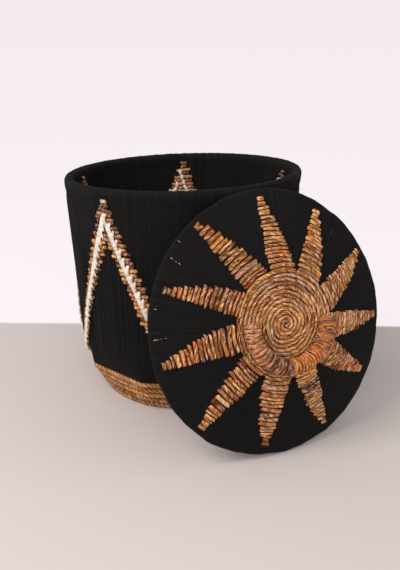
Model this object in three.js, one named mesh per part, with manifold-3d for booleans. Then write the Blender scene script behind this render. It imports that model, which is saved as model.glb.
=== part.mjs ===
// Lidded abaca basket: a tapered round basket on a coiled rope foot, with its domed lid
// taken off and leaning against it, and a bound rope handle hinged on the lid.
// Millimetres, +Z up, the floor at Z = 0, the origin at the middle of the basket's base.
// The camera of the reference picture looks along +Y; an azimuth of 0 faces it.
import * as THREE from "three";
import { mergeVertices } from "three/addons/utils/BufferGeometryUtils.js";
import Module from "manifold-3d";

const wasm = await Module();
wasm.setup();

const DEG = Math.PI / 180;
const UP = new THREE.Vector3(0, 0, 1);

// Driving dimensions of the basket
const RIM_RADIUS = 176.5;
const RIM_HEIGHT = 337.5;
const LOW_RADIUS = 158;
const LOW_HEIGHT = 92;
const WAIST_RADIUS = 152;
const WAIST_HEIGHT = 52;
const TURN_HEIGHT = 76;
const RIM_RISE_RIGHT = 7.2;
const RIM_RISE_FRONT = 7.6;
const FLOOR_RADIUS = 122;

// Layers of the wall, from the outside in
const GAP = 0.3;
const YARN = 1.5;
const ROPE = 5.4;
const RIM_HOOP_WIRE = 8;
const WAIST_HOOP_WIRE = 4.4;
const UPRIGHT_WIRE = 4;
const BASE_RING_WIRE = 4;
const RIM_YARN = 2.7;
const RIM_ROUND = 2;
const RIM_SPREAD = 1.2;
const WAIST_HOOP_RISE = 3;
const UPRIGHTS = 9;
const FIRST_UPRIGHT = -62;
const BASE_THICKNESS = 5;

// The coiled foot
const FOOT_COURSES = 5;
const FOOT_ROPE = 9.8;
const FOOT_JOG_STEPS = 2;
const FOOT_SIDE_STEPS = 3;
const FOOT_START_STEP = 17;

// The zigzag of rope floats and its stitch line
const APEX_AZIMUTHS = [-36, -105, -179, -252, -321];
const APEX_HEIGHT = 324;
const APEX_HALF_WIDTH = 3;
const LEFT_SLOPE = 2.7;
const RIGHT_SLOPE = 2.4;
const LEG_WIDTH = 27;
const LEG_FOOT = 58;
const LEG_END = 3;
const FLOAT_THICKNESS = 2.4;
const FLOAT_LIFT = 1.1;
const LINING_LIFT = 1.3;
const ROWS_PER_STEP = 5;
const STITCH_START = 3;
const STITCH_LIFT = 0.7;
const STITCH_WIDTH = 9;
const STITCH_THICKNESS = 1.2;
const STITCH_BENDS = 6;

// Driving dimensions of the lid
const LID_RADIUS = 178.6;
const LID_DOME = 37.8;
const LID_CROWN = 2.6;
const LID_SHOULDER = 71;
const LID_EDGE_ROUND = 3.1;
const LID_EDGE_RADIUS = LID_RADIUS - LID_EDGE_ROUND;
const LID_EDGE_TOP = 3.6;
const LID_SKIN = 1.3;
const LID_HOOP_WIRE = 4.4;

// The spiral of rope and the star round it
const SPIRAL_PITCH = 5.45;
const SPIRAL_ROPE = 5;
const SPIRAL_START = 3.2;
const SPIRAL_TURNS = 11.4;
const RAY_TIPS = [-4, 28, 58, 90, 124, 157, 190, 224, 258, 292, 325];
const RAY_ROWS = 18;
const RAY_PITCH = 5.36;
const RAY_BASE_WIDTH = 37.2;
const RAY_TIP_WIDTH = 5.2;
const RAY_FULLNESS = 1.7;
const RAY_SWIRL = 5.5;
const RAY_THICKNESS = 3.4;
const RAY_RIB = 1.3;

// The handle and its lashings
const HANDLE_SPAN = 113.6;
const HANDLE_DROP = 51.5;
const HANDLE_SIDE = 0.8;
const HANDLE_OFFSET = -2.7;
const HANDLE_TURN = -3.4;
const HANDLE_CORE = 13.6;
const HANDLE_EYE = 20;
const TWINE_THICKNESS = 3;
const TWINE_FILL = 0.66;
const WIDE_TURNS = 8;
const MIDDLE_TURNS = 8;
const FINE_TURNS = 14;
const WIDE_TO_FINE = 1.6;
const MIDDLE_TO_FINE = 1.2;
const LASHING = 3;
const LASHING_BORE = 4.4;

// How the lid leans
const LID_TURN = 27.86;
const LID_LEAN = 15.68;
const LID_SIDE = 17.9;

// Steps round a full circle and sides of a section
const AROUND = 36;
const WIRE_SIDES = 6;
const COIL_STEPS = 20;
const CORE_STEPS = 12;
const CURL_STEPS = 8;
const CURL_SIDES = 5;
const RIM_SAMPLES = 12;

// Finishes
function finish(color, roughness, metalness = 0) {
  return new THREE.MeshStandardMaterial({ color, roughness, metalness });
}
const blackYarn = finish(0x1b1917, 0.95);
const abaca = finish(0xb98552, 0.8);
const footRope = finish(0xa0703f, 0.85);
const whiteYarn = finish(0xe9ddd0, 0.9);
const twine = finish(0xb87a48, 0.75);
const lashingTwine = finish(0x9a6a3e, 0.8);
const steel = finish(0x6f7072, 0.45, 0.9);

// The outside radius of the wall at a height, before its sides are flattened
function wallRadius(height) {
  if (height > LOW_HEIGHT) {
    const share = (height - LOW_HEIGHT) / (RIM_HEIGHT - LOW_HEIGHT);
    return THREE.MathUtils.lerp(LOW_RADIUS, RIM_RADIUS, share);
  }
  const share = (height - WAIST_HEIGHT) / (LOW_HEIGHT - WAIST_HEIGHT);
  return THREE.MathUtils.lerp(WAIST_RADIUS, LOW_RADIUS, share);
}

// How far the straight waist hoop pulls the wall in between two uprights: 1 at an upright
function flatness(azimuth, height) {
  const above = (LOW_HEIGHT - height) / (LOW_HEIGHT - WAIST_HEIGHT);
  const below = height / WAIST_HEIGHT;
  const pull = THREE.MathUtils.clamp(Math.min(above, below), 0, 1);
  const side = (2 * Math.PI) / UPRIGHTS;
  const turned = azimuth - FIRST_UPRIGHT * DEG;
  const offset = turned - Math.floor(turned / side) * side - side / 2;
  return 1 + pull * (Math.cos(side / 2) / Math.cos(offset) - 1);
}

// A point of the basket; the hand-made rim stands a little higher at the right and the front
function basketPoint(azimuth, radius, height) {
  const r = radius * flatness(azimuth, height);
  const x = r * Math.sin(azimuth);
  const y = -r * Math.cos(azimuth);
  const rise = (RIM_RISE_RIGHT * x - RIM_RISE_FRONT * y) / RIM_RADIUS;
  return new THREE.Vector3(x, y, height + (rise * height) / RIM_HEIGHT);
}

// A closed surface from a grid of points: the rows are closed loops of points, and the rows
// either join end to end or are capped with flat ends. Every four-sided cell is folded from
// its lower corner to its upper one, so that layers which lie against each other fold alike
function surfaceOf(rows, joined) {
  const across = rows[0].length;
  const positions = rows.flat().flatMap((p) => [p.x, p.y, p.z]);
  const index = [];
  const last = joined ? rows.length : rows.length - 1;
  for (let i = 0; i < last; i += 1) {
    const next = (i + 1) % rows.length;
    for (let j = 0; j < across; j += 1) {
      const k = (j + 1) % across;
      const a = i * across + j;
      const b = i * across + k;
      const c = next * across + k;
      const d = next * across + j;
      if (rows[i][k].z >= rows[i][j].z) {
        index.push(a, b, c, a, c, d);
      } else {
        index.push(a, b, d, b, c, d);
      }
    }
  }
  if (!joined) {
    const end = (rows.length - 1) * across;
    for (let j = 1; j < across - 1; j += 1) {
      index.push(0, j + 1, j);
      index.push(end, end + j, end + j + 1);
    }
  }
  const geometry = new THREE.BufferGeometry();
  geometry.setAttribute("position", new THREE.Float32BufferAttribute(positions, 3));
  geometry.setIndex(index);
  return facingOut(geometry);
}

// Signed volume of a closed mesh
function volumeOf(geometry) {
  const p = geometry.getAttribute("position");
  const order = geometry.index.array;
  const a = new THREE.Vector3();
  const b = new THREE.Vector3();
  const c = new THREE.Vector3();
  let sum = 0;
  for (let i = 0; i < order.length; i += 3) {
    a.fromBufferAttribute(p, order[i]);
    b.fromBufferAttribute(p, order[i + 1]);
    c.fromBufferAttribute(p, order[i + 2]);
    sum += a.dot(b.cross(c)) / 6;
  }
  return sum;
}

// The same mesh with its faces turned outwards
function facingOut(geometry) {
  if (volumeOf(geometry) < 0) {
    const order = geometry.index.array;
    for (let i = 0; i < order.length; i += 3) {
      [order[i + 1], order[i + 2]] = [order[i + 2], order[i + 1]];
    }
  }
  geometry.computeVertexNormals();
  return geometry;
}

// A rope or wire swept along points. The section is a polygon, wide across the path's own
// side direction and high along its up direction; widthAt and sideAt give both at a step
function swept(path, widthAt, height, sides, joined, sideAt) {
  const rows = path.map((point, i) => {
    const before = path[joined ? (i + path.length - 1) % path.length : Math.max(i - 1, 0)];
    const after = path[joined ? (i + 1) % path.length : Math.min(i + 1, path.length - 1)];
    const along = after.clone().sub(before).normalize();
    const side = sideAt(point);
    const width = widthAt(i);
    side.addScaledVector(along, -side.dot(along)).normalize();
    const up = new THREE.Vector3().crossVectors(along, side);
    return Array.from({ length: sides }, (_, j) => {
      const angle = (2 * Math.PI * (j + 0.5)) / sides;
      return point
        .clone()
        .addScaledVector(side, (width / 2) * Math.cos(angle))
        .addScaledVector(up, (height / 2) * Math.sin(angle));
    });
  });
  return surfaceOf(rows, joined);
}

// A round rope or wire whose section keeps one direction in line with a fixed one
function wire(path, thickness, sides, joined, keep = UP) {
  return swept(path, () => thickness, thickness, sides, joined, () => keep.clone());
}

// The least distance between parts of a rope that lie more than one loop step apart
function leastGap(path, thickness, apart) {
  let least = Infinity;
  for (let i = 0; i < path.length; i += 1) {
    for (let j = i + apart; j < path.length; j += 1) {
      least = Math.min(least, path[i].distanceTo(path[j]));
    }
  }
  return least - thickness;
}

// A shell of the wall from a closed profile of [inset, height] pairs
function wallShell(profile) {
  const rows = [];
  for (let i = 0; i < AROUND; i += 1) {
    const azimuth = FIRST_UPRIGHT * DEG + (2 * Math.PI * i) / AROUND;
    rows.push(profile.map(([inset, z]) => basketPoint(azimuth, wallRadius(z) - inset, z)));
  }
  return surfaceOf(rows, true);
}

// A hoop that lies in the wall
function wallHoop(inset, height, thickness) {
  const path = [];
  for (let i = 0; i < AROUND; i += 1) {
    const azimuth = FIRST_UPRIGHT * DEG + (2 * Math.PI * i) / AROUND;
    path.push(basketPoint(azimuth, wallRadius(height) - inset, height));
  }
  return wire(path, thickness, WIRE_SIDES, true);
}

// Insets of the layers of the wall
const ROPE_OUTSIDE = YARN + GAP;
const ROPE_INSIDE = ROPE_OUTSIDE + ROPE;
const UPRIGHT_INSET = ROPE_INSIDE + GAP + UPRIGHT_WIRE / 2;
const LINING_OUTSIDE = UPRIGHT_INSET + UPRIGHT_WIRE / 2 + GAP;
const WALL_THICKNESS = LINING_OUTSIDE + YARN;
const HOOP_TOP = RIM_HEIGHT - RIM_YARN - GAP;
const HOOP_BOTTOM = HOOP_TOP - RIM_HOOP_WIRE;
const ROPE_TOP = HOOP_BOTTOM - GAP;
const WAIST_HOOP_HEIGHT = WAIST_HEIGHT + WAIST_HOOP_RISE + WAIST_HOOP_WIRE / 2;
const ROPE_BOTTOM = WAIST_HOOP_HEIGHT + WAIST_HOOP_WIRE / 2 + GAP;
const LINING_BOTTOM = ROPE_BOTTOM;

// The black yarn that covers the wall outside, goes over the rim and lines the inside
function yarnCover() {
  const shoulder = HOOP_BOTTOM;
  const middle = WALL_THICKNESS / 2;
  return wallShell([
    [0, WAIST_HEIGHT],
    [0, ROPE_BOTTOM],
    [0, TURN_HEIGHT],
    [0, LOW_HEIGHT],
    [0, shoulder],
    [RIM_YARN, RIM_HEIGHT - RIM_ROUND],
    [middle, RIM_HEIGHT],
    [WALL_THICKNESS - RIM_YARN, RIM_HEIGHT - RIM_ROUND],
    [WALL_THICKNESS, shoulder],
    [WALL_THICKNESS, LOW_HEIGHT],
    [WALL_THICKNESS, TURN_HEIGHT],
    [WALL_THICKNESS, LINING_BOTTOM],
    [LINING_OUTSIDE, LINING_BOTTOM],
    [LINING_OUTSIDE, TURN_HEIGHT],
    [LINING_OUTSIDE, LOW_HEIGHT],
    [LINING_OUTSIDE, shoulder],
    [LINING_OUTSIDE - RIM_SPREAD, RIM_HEIGHT - RIM_YARN],
    [YARN + RIM_SPREAD, RIM_HEIGHT - RIM_YARN],
    [YARN, shoulder],
    [YARN, LOW_HEIGHT],
    [YARN, TURN_HEIGHT],
    [YARN, ROPE_BOTTOM],
    [YARN, WAIST_HEIGHT],
  ]);
}

// The horizontal courses of abaca rope inside the yarn
function ropeWall() {
  return wallShell([
    [ROPE_OUTSIDE, ROPE_BOTTOM],
    [ROPE_OUTSIDE, TURN_HEIGHT],
    [ROPE_OUTSIDE, LOW_HEIGHT],
    [ROPE_OUTSIDE, ROPE_TOP],
    [ROPE_INSIDE, ROPE_TOP],
    [ROPE_INSIDE, LOW_HEIGHT],
    [ROPE_INSIDE, TURN_HEIGHT],
    [ROPE_INSIDE, ROPE_BOTTOM],
  ]);
}

// Radius and height of the foot coil's centre line at a course, 0 at the floor
const FOOT_LOW = FOOT_ROPE / 2 + GAP;
const FOOT_TOP = WAIST_HEIGHT - FOOT_ROPE / 2 - GAP;
const FOOT_STEPS = FOOT_SIDE_STEPS * UPRIGHTS;
const FOOT_TOP_RADIUS = wallRadius(WAIST_HEIGHT) - YARN - FOOT_ROPE / 2;
const FOOT_LOW_RADIUS = FLOOR_RADIUS - FOOT_ROPE / 2;
function footCourse(course) {
  const share = course / (FOOT_COURSES - 1);
  return {
    height: THREE.MathUtils.lerp(FOOT_LOW, FOOT_TOP, share),
    radius: THREE.MathUtils.lerp(FOOT_LOW_RADIUS, FOOT_TOP_RADIUS, share),
  };
}

// The foot's rope: level courses that step up to the next one at the back, in one length
function footPath() {
  const path = [];
  const steps = FOOT_COURSES * FOOT_STEPS - FOOT_JOG_STEPS - 1;
  for (let i = 0; i <= steps; i += 1) {
    const course = Math.floor(i / FOOT_STEPS);
    const part = i - course * FOOT_STEPS;
    const climb = THREE.MathUtils.smoothstep(part, FOOT_STEPS - FOOT_JOG_STEPS, FOOT_STEPS);
    const at = footCourse(Math.min(course + climb, FOOT_COURSES - 1));
    const azimuth = FIRST_UPRIGHT * DEG + (2 * Math.PI * (FOOT_START_STEP + part)) / FOOT_STEPS;
    path.push(basketPoint(azimuth, at.radius, at.height));
  }
  return path;
}

// The wire upright: down the wall, round the waist and in along the foot to the base ring
const FOOT_SLANT = Math.hypot(FOOT_TOP - FOOT_LOW, FOOT_TOP_RADIUS - FOOT_LOW_RADIUS);
const COIL_SAG = FOOT_TOP_RADIUS * (1 - Math.cos(Math.PI / FOOT_STEPS));
const FOOT_CLEAR = FOOT_ROPE / 2 + GAP + UPRIGHT_WIRE / 2;
const FOOT_LINE = (FOOT_CLEAR * FOOT_SLANT) / (FOOT_TOP - FOOT_LOW) + COIL_SAG;
const BASE_RING_HEIGHT = BASE_THICKNESS + GAP + BASE_RING_WIRE / 2;
function uprightPath(azimuth) {
  const top = ROPE_TOP;
  const foot = BASE_RING_HEIGHT + BASE_RING_WIRE / 2 + GAP + UPRIGHT_WIRE / 2;
  const footShare = (foot - FOOT_LOW) / (FOOT_TOP - FOOT_LOW);
  const footRadius = THREE.MathUtils.lerp(FOOT_LOW_RADIUS, FOOT_TOP_RADIUS, footShare);
  const bend = WAIST_HEIGHT + 2;
  return [
    [wallRadius(top) - UPRIGHT_INSET, top],
    [wallRadius(LOW_HEIGHT) - UPRIGHT_INSET, LOW_HEIGHT],
    [wallRadius(bend) - UPRIGHT_INSET, bend],
    [FOOT_TOP_RADIUS - FOOT_LINE, FOOT_TOP],
    [footRadius - FOOT_LINE, foot],
  ].map(([radius, height]) => basketPoint(azimuth, radius, height));
}

// Half widths of a zigzag leg's outer and inner edge at a height, by the leg's own slope
function legEdges(height, slope) {
  const outer = APEX_HALF_WIDTH + (APEX_HEIGHT - height) / slope;
  return { outer, inner: outer - LEG_WIDTH };
}

// The rows of one peak of the zigzag: each has a top, a bottom and the spans it covers; the
// legs stop short of the neighbours' at the middle of the space between two peaks
function peakRows(reachLeft, reachRight) {
  const steps = Math.round((APEX_HEIGHT - LOW_HEIGHT) / ROPE / ROWS_PER_STEP);
  const levels = Array.from({ length: steps }, (_, i) =>
    THREE.MathUtils.lerp(APEX_HEIGHT, LOW_HEIGHT, i / steps),
  );
  levels.push(LOW_HEIGHT, TURN_HEIGHT, LEG_FOOT);
  return levels.slice(1).map((bottom, i) => {
    const top = levels[i];
    const leftLeg = legEdges((top + bottom) / 2, LEFT_SLOPE);
    const rightLeg = legEdges((top + bottom) / 2, RIGHT_SLOPE);
    const left = Math.min(leftLeg.outer, reachLeft);
    const right = Math.min(rightLeg.outer, reachRight);
    const parted = Math.min(leftLeg.inner, rightLeg.inner) > 0;
    const legs = [[-left, -leftLeg.inner], [rightLeg.inner, right]];
    const spans = parted ? legs.filter(([from, to]) => to - from > LEG_END) : [[-left, 0, right]];
    return { top, bottom, spans };
  });
}

// A flat face of triangles from stepped rows; every row also takes in the points at which
// the spans of the rows above and below it begin and end
function steppedFace(rows) {
  const points = [];
  const index = [];
  const known = new Map();
  const pointAt = (x, z) => {
    const key = `${x.toFixed(3)} ${z.toFixed(3)}`;
    if (!known.has(key)) {
      known.set(key, points.length);
      points.push([x, z]);
    }
    return known.get(key);
  };
  const marks = (row) => (row ? row.spans.flat() : []);
  rows.forEach((row, i) => {
    for (const span of row.spans) {
      const line = (neighbour, z) => {
        const inSpan = marks(neighbour).filter((x) => x > span[0] && x < span[span.length - 1]);
        const all = [...new Set(span.concat(inSpan))];
        return all.sort((p, q) => p - q).map((x) => pointAt(x, z));
      };
      index.push(...betweenLines(line(rows[i - 1], row.top), line(rows[i + 1], row.bottom), points));
    }
  });
  return { points, index };
}

// Triangles between an upper and a lower line of points, both in order from the left
function betweenLines(upper, lower, points) {
  const index = [];
  let i = 0;
  let j = 0;
  while (i < upper.length - 1 || j < lower.length - 1) {
    const nextUpper = i < upper.length - 1 ? points[upper[i + 1]][0] : Infinity;
    const nextLower = j < lower.length - 1 ? points[lower[j + 1]][0] : Infinity;
    if (nextUpper < nextLower) {
      index.push(upper[i], lower[j], upper[i + 1]);
      i += 1;
    } else {
      index.push(upper[i], lower[j], lower[j + 1]);
      j += 1;
    }
  }
  return index;
}

// A flat face bent round the wall and given a thickness away from it
function onWall(flat, azimuth, lift, thickness, outwards) {
  const { points, index } = flat;
  const count = points.length;
  const layer = (away) =>
    points.map(([across, height]) => {
      const wall = wallRadius(height);
      const radius = outwards ? wall + away : wall - WALL_THICKNESS - away;
      return basketPoint(azimuth + across / wall, radius, height);
    });
  const edges = new Set();
  for (let i = 0; i < index.length; i += 3) {
    for (let j = 0; j < 3; j += 1) {
      edges.add(`${index[i + j]} ${index[i + ((j + 1) % 3)]}`);
    }
  }
  const order = index.slice();
  for (let i = 0; i < index.length; i += 3) {
    order.push(index[i] + count, index[i + 2] + count, index[i + 1] + count);
  }
  for (const edge of edges) {
    const [a, b] = edge.split(" ").map(Number);
    if (!edges.has(`${b} ${a}`)) {
      order.push(b, a, a + count, b, a + count, b + count);
    }
  }
  const positions = layer(lift).concat(layer(lift + thickness)).flatMap((p) => [p.x, p.y, p.z]);
  const geometry = new THREE.BufferGeometry();
  geometry.setAttribute("position", new THREE.Float32BufferAttribute(positions, 3));
  geometry.setIndex(order);
  return facingOut(geometry);
}

// The stitched line: one band up the middle of the left leg, over the peak and down again
function stitchFace(reachLeft, reachRight) {
  const start = APEX_HEIGHT - STITCH_START * ROPE;
  const foot = (slope) => (start - LOW_HEIGHT) / slope - STITCH_WIDTH;
  const left = Math.min(foot(LEFT_SLOPE), reachLeft - LEG_WIDTH / 2);
  const right = Math.min(foot(RIGHT_SLOPE), reachRight - LEG_WIDTH / 2);
  const points = [];
  const index = [];
  for (let i = -STITCH_BENDS; i <= STITCH_BENDS; i += 1) {
    const across = (i / STITCH_BENDS) * (i < 0 ? left : right);
    const slope = i < 0 ? LEFT_SLOPE : RIGHT_SLOPE;
    const top = start - Math.abs(across) * slope;
    const at = points.length;
    points.push([across, top], [across, top - STITCH_WIDTH * slope]);
    if (i < STITCH_BENDS) {
      index.push(at, at + 1, at + 2, at + 1, at + 3, at + 2);
    }
  }
  return { points, index };
}

// The lid's upper surface, measured from the plane of its edge: a low crown, then a cone
function lidTop(radius) {
  if (radius <= LID_SHOULDER) {
    return LID_DOME - LID_CROWN * (radius / LID_SHOULDER) ** 2;
  }
  const share = (radius - LID_SHOULDER) / (LID_EDGE_RADIUS - LID_SHOULDER);
  return THREE.MathUtils.lerp(LID_DOME - LID_CROWN, LID_EDGE_TOP, share);
}
const LID_LAYERS = LID_SKIN + GAP + ROPE + GAP + LID_SKIN;
const LINING_DEPTH = LID_LAYERS - LID_SKIN;
const LID_HOOP_RADIUS = LID_RADIUS - 2 * LID_SKIN - GAP - LID_HOOP_WIRE / 2;
const LID_CORE_RADIUS = LID_HOOP_RADIUS - LID_HOOP_WIRE / 2 - GAP;
const SPIRAL_EDGE = SPIRAL_START + SPIRAL_TURNS * SPIRAL_PITCH + SPIRAL_ROPE / 2;

// A turned shape about the lid's axis, from [radius, height] points that end on the axis
// or close on themselves
function turned(profile) {
  const points = profile.map(([radius, z]) => new THREE.Vector2(radius, z));
  const lathe = new THREE.LatheGeometry(points, AROUND);
  lathe.rotateX(Math.PI / 2);
  lathe.deleteAttribute("normal");
  lathe.deleteAttribute("uv");
  return facingOut(withoutSlivers(mergeVertices(lathe, 1e-4)));
}

// Drops the faces that a lathe folds to nothing at its poles
function withoutSlivers(geometry) {
  const order = Array.from(geometry.index.array);
  const kept = [];
  for (let i = 0; i < order.length; i += 3) {
    const [a, b, c] = order.slice(i, i + 3);
    if (a !== b && b !== c && c !== a) {
      kept.push(a, b, c);
    }
  }
  geometry.setIndex(kept);
  return geometry;
}

// A level line of [radius, height] points a depth below the lid's upper surface
function lidLine(radii, depth) {
  return radii.map((radius) => [radius, lidTop(radius) - depth]);
}

// The black yarn of the lid: over the cone, round the edge and across the underside
function lidYarn() {
  const inner = LID_SHOULDER + 1;
  const edge = LID_TOP_CENTRE;
  const profile = [
    ...lidLine([inner, LID_EDGE_RADIUS], 0),
    [LID_RADIUS, edge],
    ...lidLine([LID_EDGE_RADIUS, LID_SHOULDER, 0], LID_LAYERS),
    ...lidLine([0, LID_SHOULDER, LID_EDGE_RADIUS - 1], LINING_DEPTH),
    [LID_RADIUS - LID_SKIN, edge],
    ...lidLine([LID_EDGE_RADIUS - 1, inner], LID_SKIN),
  ];
  profile.push(profile[0].slice());
  return turned(profile);
}
const LID_TOP_CENTRE = LID_EDGE_TOP - LID_LAYERS / 2;

// The disc of rope that stiffens the lid, sunk in the middle to take the spiral
function lidRopes() {
  const step = LID_SHOULDER - 1;
  const sunk = SPIRAL_ROPE + GAP;
  const under = LID_SKIN + GAP + ROPE;
  const over = LID_SKIN + GAP;
  return turned([
    ...lidLine([0, step / 2, step], under),
    ...lidLine([LID_CORE_RADIUS], under),
    ...lidLine([LID_CORE_RADIUS, step], over),
    ...lidLine([step, step / 2, 0], sunk),
  ]);
}

// The spiral of rope in the middle of the lid, in one length from its centre outwards
function spiralPath() {
  const path = [];
  const steps = Math.round(SPIRAL_TURNS * COIL_STEPS);
  for (let i = 0; i <= steps; i += 1) {
    const angle = (2 * Math.PI * i) / COIL_STEPS;
    const radius = SPIRAL_START + SPIRAL_PITCH * (i / COIL_STEPS);
    const height = lidTop(radius) - SPIRAL_ROPE / 2;
    path.push(new THREE.Vector3(radius * Math.cos(angle), radius * Math.sin(angle), height));
  }
  return path;
}

// A closed mesh as a solid that can be joined or cut
function solidOf(geometry) {
  const plain = geometry.clone();
  plain.deleteAttribute("normal");
  plain.deleteAttribute("uv");
  const merged = withoutSlivers(mergeVertices(plain, 1e-4));
  return new wasm.Manifold(
    new wasm.Mesh({
      numProp: 3,
      vertProperties: merged.getAttribute("position").array,
      triVerts: new Uint32Array(merged.index.array),
    }),
  );
}

// A solid back as a mesh
function meshOf(solid) {
  const made = solid.getMesh();
  const geometry = new THREE.BufferGeometry();
  geometry.setAttribute("position", new THREE.Float32BufferAttribute(made.vertProperties, 3));
  geometry.setIndex(Array.from(made.triVerts));
  geometry.computeVertexNormals();
  return geometry;
}

// Half width of a ray at a row, full near the spiral and one rope wide at the tip
function rayHalfWidth(share) {
  const width = RAY_TIP_WIDTH + (RAY_BASE_WIDTH - RAY_TIP_WIDTH) * (1 - share ** RAY_FULLNESS);
  return width / 2;
}

// One ray: a plate with a rib for each row of rope, cut to the stepped outline of the rows
function starRay(tipAngle) {
  const start = LID_SHOULDER + GAP;
  const slope = Math.atan2(lidTop(start) - lidTop(LID_EDGE_RADIUS), LID_EDGE_RADIUS - start);
  const length = RAY_ROWS * RAY_PITCH;
  const ribs = [[0, 0], [length, 0]];
  for (let row = RAY_ROWS - 1; row >= 0; row -= 1) {
    const at = row * RAY_PITCH;
    ribs.push([at + RAY_PITCH, RAY_THICKNESS - RAY_RIB]);
    ribs.push([at + RAY_PITCH / 2, RAY_THICKNESS]);
  }
  ribs.push([0, RAY_THICKNESS - RAY_RIB]);
  const plate = new THREE.ExtrudeGeometry(
    new THREE.Shape(ribs.map(([x, y]) => new THREE.Vector2(x, y))),
    { depth: 1.5 * RAY_BASE_WIDTH, bevelEnabled: false },
  );
  plate.rotateX(Math.PI / 2);
  plate.translate(0, 0.75 * RAY_BASE_WIDTH, 0);
  const left = [];
  const right = [];
  for (let row = 0; row < RAY_ROWS; row += 2) {
    const share = (row + 1) / RAY_ROWS;
    const half = rayHalfWidth(share);
    const from = row * RAY_PITCH;
    const to = Math.min(row + 2, RAY_ROWS) * RAY_PITCH;
    const middle = -Math.tan(RAY_SWIRL * DEG * (1 - share)) * (start + (from + to) / 2);
    right.push([from, middle - half], [to, middle - half]);
    left.unshift([to, middle + half], [from, middle + half]);
  }
  const outline = new THREE.ExtrudeGeometry(
    new THREE.Shape(right.concat(left).map(([x, y]) => new THREE.Vector2(x, y))),
    { depth: 2 * RAY_THICKNESS, bevelEnabled: false },
  );
  outline.translate(0, 0, -RAY_THICKNESS / 2);
  const ray = meshOf(solidOf(plate).intersect(solidOf(outline)));
  ray.rotateY(slope);
  ray.translate(start, 0, lidTop(start) + RAY_SEAT);
  ray.rotateZ(tipAngle * DEG);
  return facingOut(ray);
}
const RAY_SEAT = GAP + 0.1;

// The handle's own frame: its hinge line is X, the arc hangs towards -Y, and Z is up
const CORE_REACH = HANDLE_CORE / 2 / Math.cos(Math.PI / CURL_STEPS) + 2 * GAP;
const HANDLE_THICKNESS = (CORE_REACH + TWINE_THICKNESS) * 2;
const HINGE_HEIGHT = lidTop(HANDLE_DROP) + GAP + HANDLE_THICKNESS / 2;
const HANDLE_RADIUS = ((HANDLE_SPAN / 2) ** 2 + HANDLE_DROP ** 2) / (2 * HANDLE_DROP);
const HANDLE_RISE = HANDLE_RADIUS - HANDLE_DROP;
const HANDLE_START = Math.asin(HANDLE_RISE / HANDLE_RADIUS);
const HANDLE_LENGTH = (Math.PI - 2 * HANDLE_START) * HANDLE_RADIUS;
function handleOutwards(share) {
  const angle = THREE.MathUtils.lerp(HANDLE_START, Math.PI - HANDLE_START, share);
  return new THREE.Vector3(-Math.cos(angle), -Math.sin(angle), 0);
}
function handleArc(share) {
  const point = handleOutwards(share).multiplyScalar(HANDLE_RADIUS);
  point.y += HANDLE_RISE;
  return point;
}

// The rope core of the handle: an arc with an eye at each end for its lashing
function handleCore() {
  const path = Array.from({ length: CORE_STEPS + 1 }, (_, i) => handleArc(i / CORE_STEPS));
  let core = solidOf(wire(path, HANDLE_CORE, CURL_STEPS, false));
  for (const side of [-1, 1]) {
    const eye = new THREE.SphereGeometry(HANDLE_EYE / 2, 10, 6);
    eye.translate((side * HANDLE_SPAN) / 2, 0, 0);
    core = core.add(solidOf(eye));
  }
  for (const side of [-1, 1]) {
    const bore = new THREE.CylinderGeometry(LASHING_BORE / 2, LASHING_BORE / 2, 2 * HANDLE_EYE, 8);
    bore.rotateZ(Math.PI / 2);
    bore.translate((side * HANDLE_SPAN) / 2, 0, 0);
    core = core.subtract(solidOf(bore));
  }
  return facingOut(meshOf(core));
}

// The twine's turns, in order from the left: each one's pitch along the handle
const TWINE_RUN = HANDLE_LENGTH - HANDLE_EYE - 2 * GAP;
const TWINE_TURNS = WIDE_TURNS + MIDDLE_TURNS + FINE_TURNS;
const FINE_PITCH =
  TWINE_RUN / (WIDE_TURNS * WIDE_TO_FINE + MIDDLE_TURNS * MIDDLE_TO_FINE + FINE_TURNS + 1);
function twinePitch(turn) {
  if (turn < WIDE_TURNS) {
    return FINE_PITCH * WIDE_TO_FINE;
  }
  return turn < WIDE_TURNS + MIDDLE_TURNS ? FINE_PITCH * MIDDLE_TO_FINE : FINE_PITCH;
}

// The width of the twine at a turn, which leaves it clear of its neighbours inside the bend
function twineWidth(turn) {
  return Math.min(twinePitch(turn), twinePitch(turn + 1)) * TWINE_FILL;
}

// The twine wound round the core, between the two eyes, in one length
function twinePath() {
  const steps = TWINE_TURNS * CURL_STEPS;
  const reach = CORE_REACH + TWINE_THICKNESS / 2;
  const path = [];
  let along = HANDLE_EYE / 2 + GAP + twineWidth(0) / 2;
  for (let i = 0; i <= steps; i += 1) {
    const share = along / HANDLE_LENGTH;
    along += twinePitch(i / CURL_STEPS) / CURL_STEPS;
    const centre = handleArc(share);
    const outwards = handleOutwards(share);
    const turn = (2 * Math.PI * i) / CURL_STEPS;
    centre.addScaledVector(outwards, reach * Math.cos(turn));
    centre.addScaledVector(UP, reach * Math.sin(turn));
    path.push(centre);
  }
  return path;
}

// The direction along the handle at a step of its twine, which the flat twine lies across
function twineSide(point) {
  return new THREE.Vector3(HANDLE_RISE - point.y, point.x, 0).normalize();
}

// A lashing: a loop of twine that rises from the lid, runs through the eye and goes down again
function lashingPath(side) {
  const stand = HANDLE_EYE / 2 + GAP + LASHING / 2;
  const middle = (side * HANDLE_SPAN) / 2;
  const leg = (offset) => {
    const across = Math.abs(middle + offset);
    return lidTop(across) + GAP - HINGE_HEIGHT;
  };
  const turn = LASHING * 0.6;
  return [
    [middle - stand, leg(-stand)],
    [middle - stand, -turn],
    [middle - stand + turn, 0],
    [middle + stand - turn, 0],
    [middle + stand, -turn],
    [middle + stand, leg(stand)],
  ].map(([x, z]) => new THREE.Vector3(x, 0, z));
}

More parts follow.
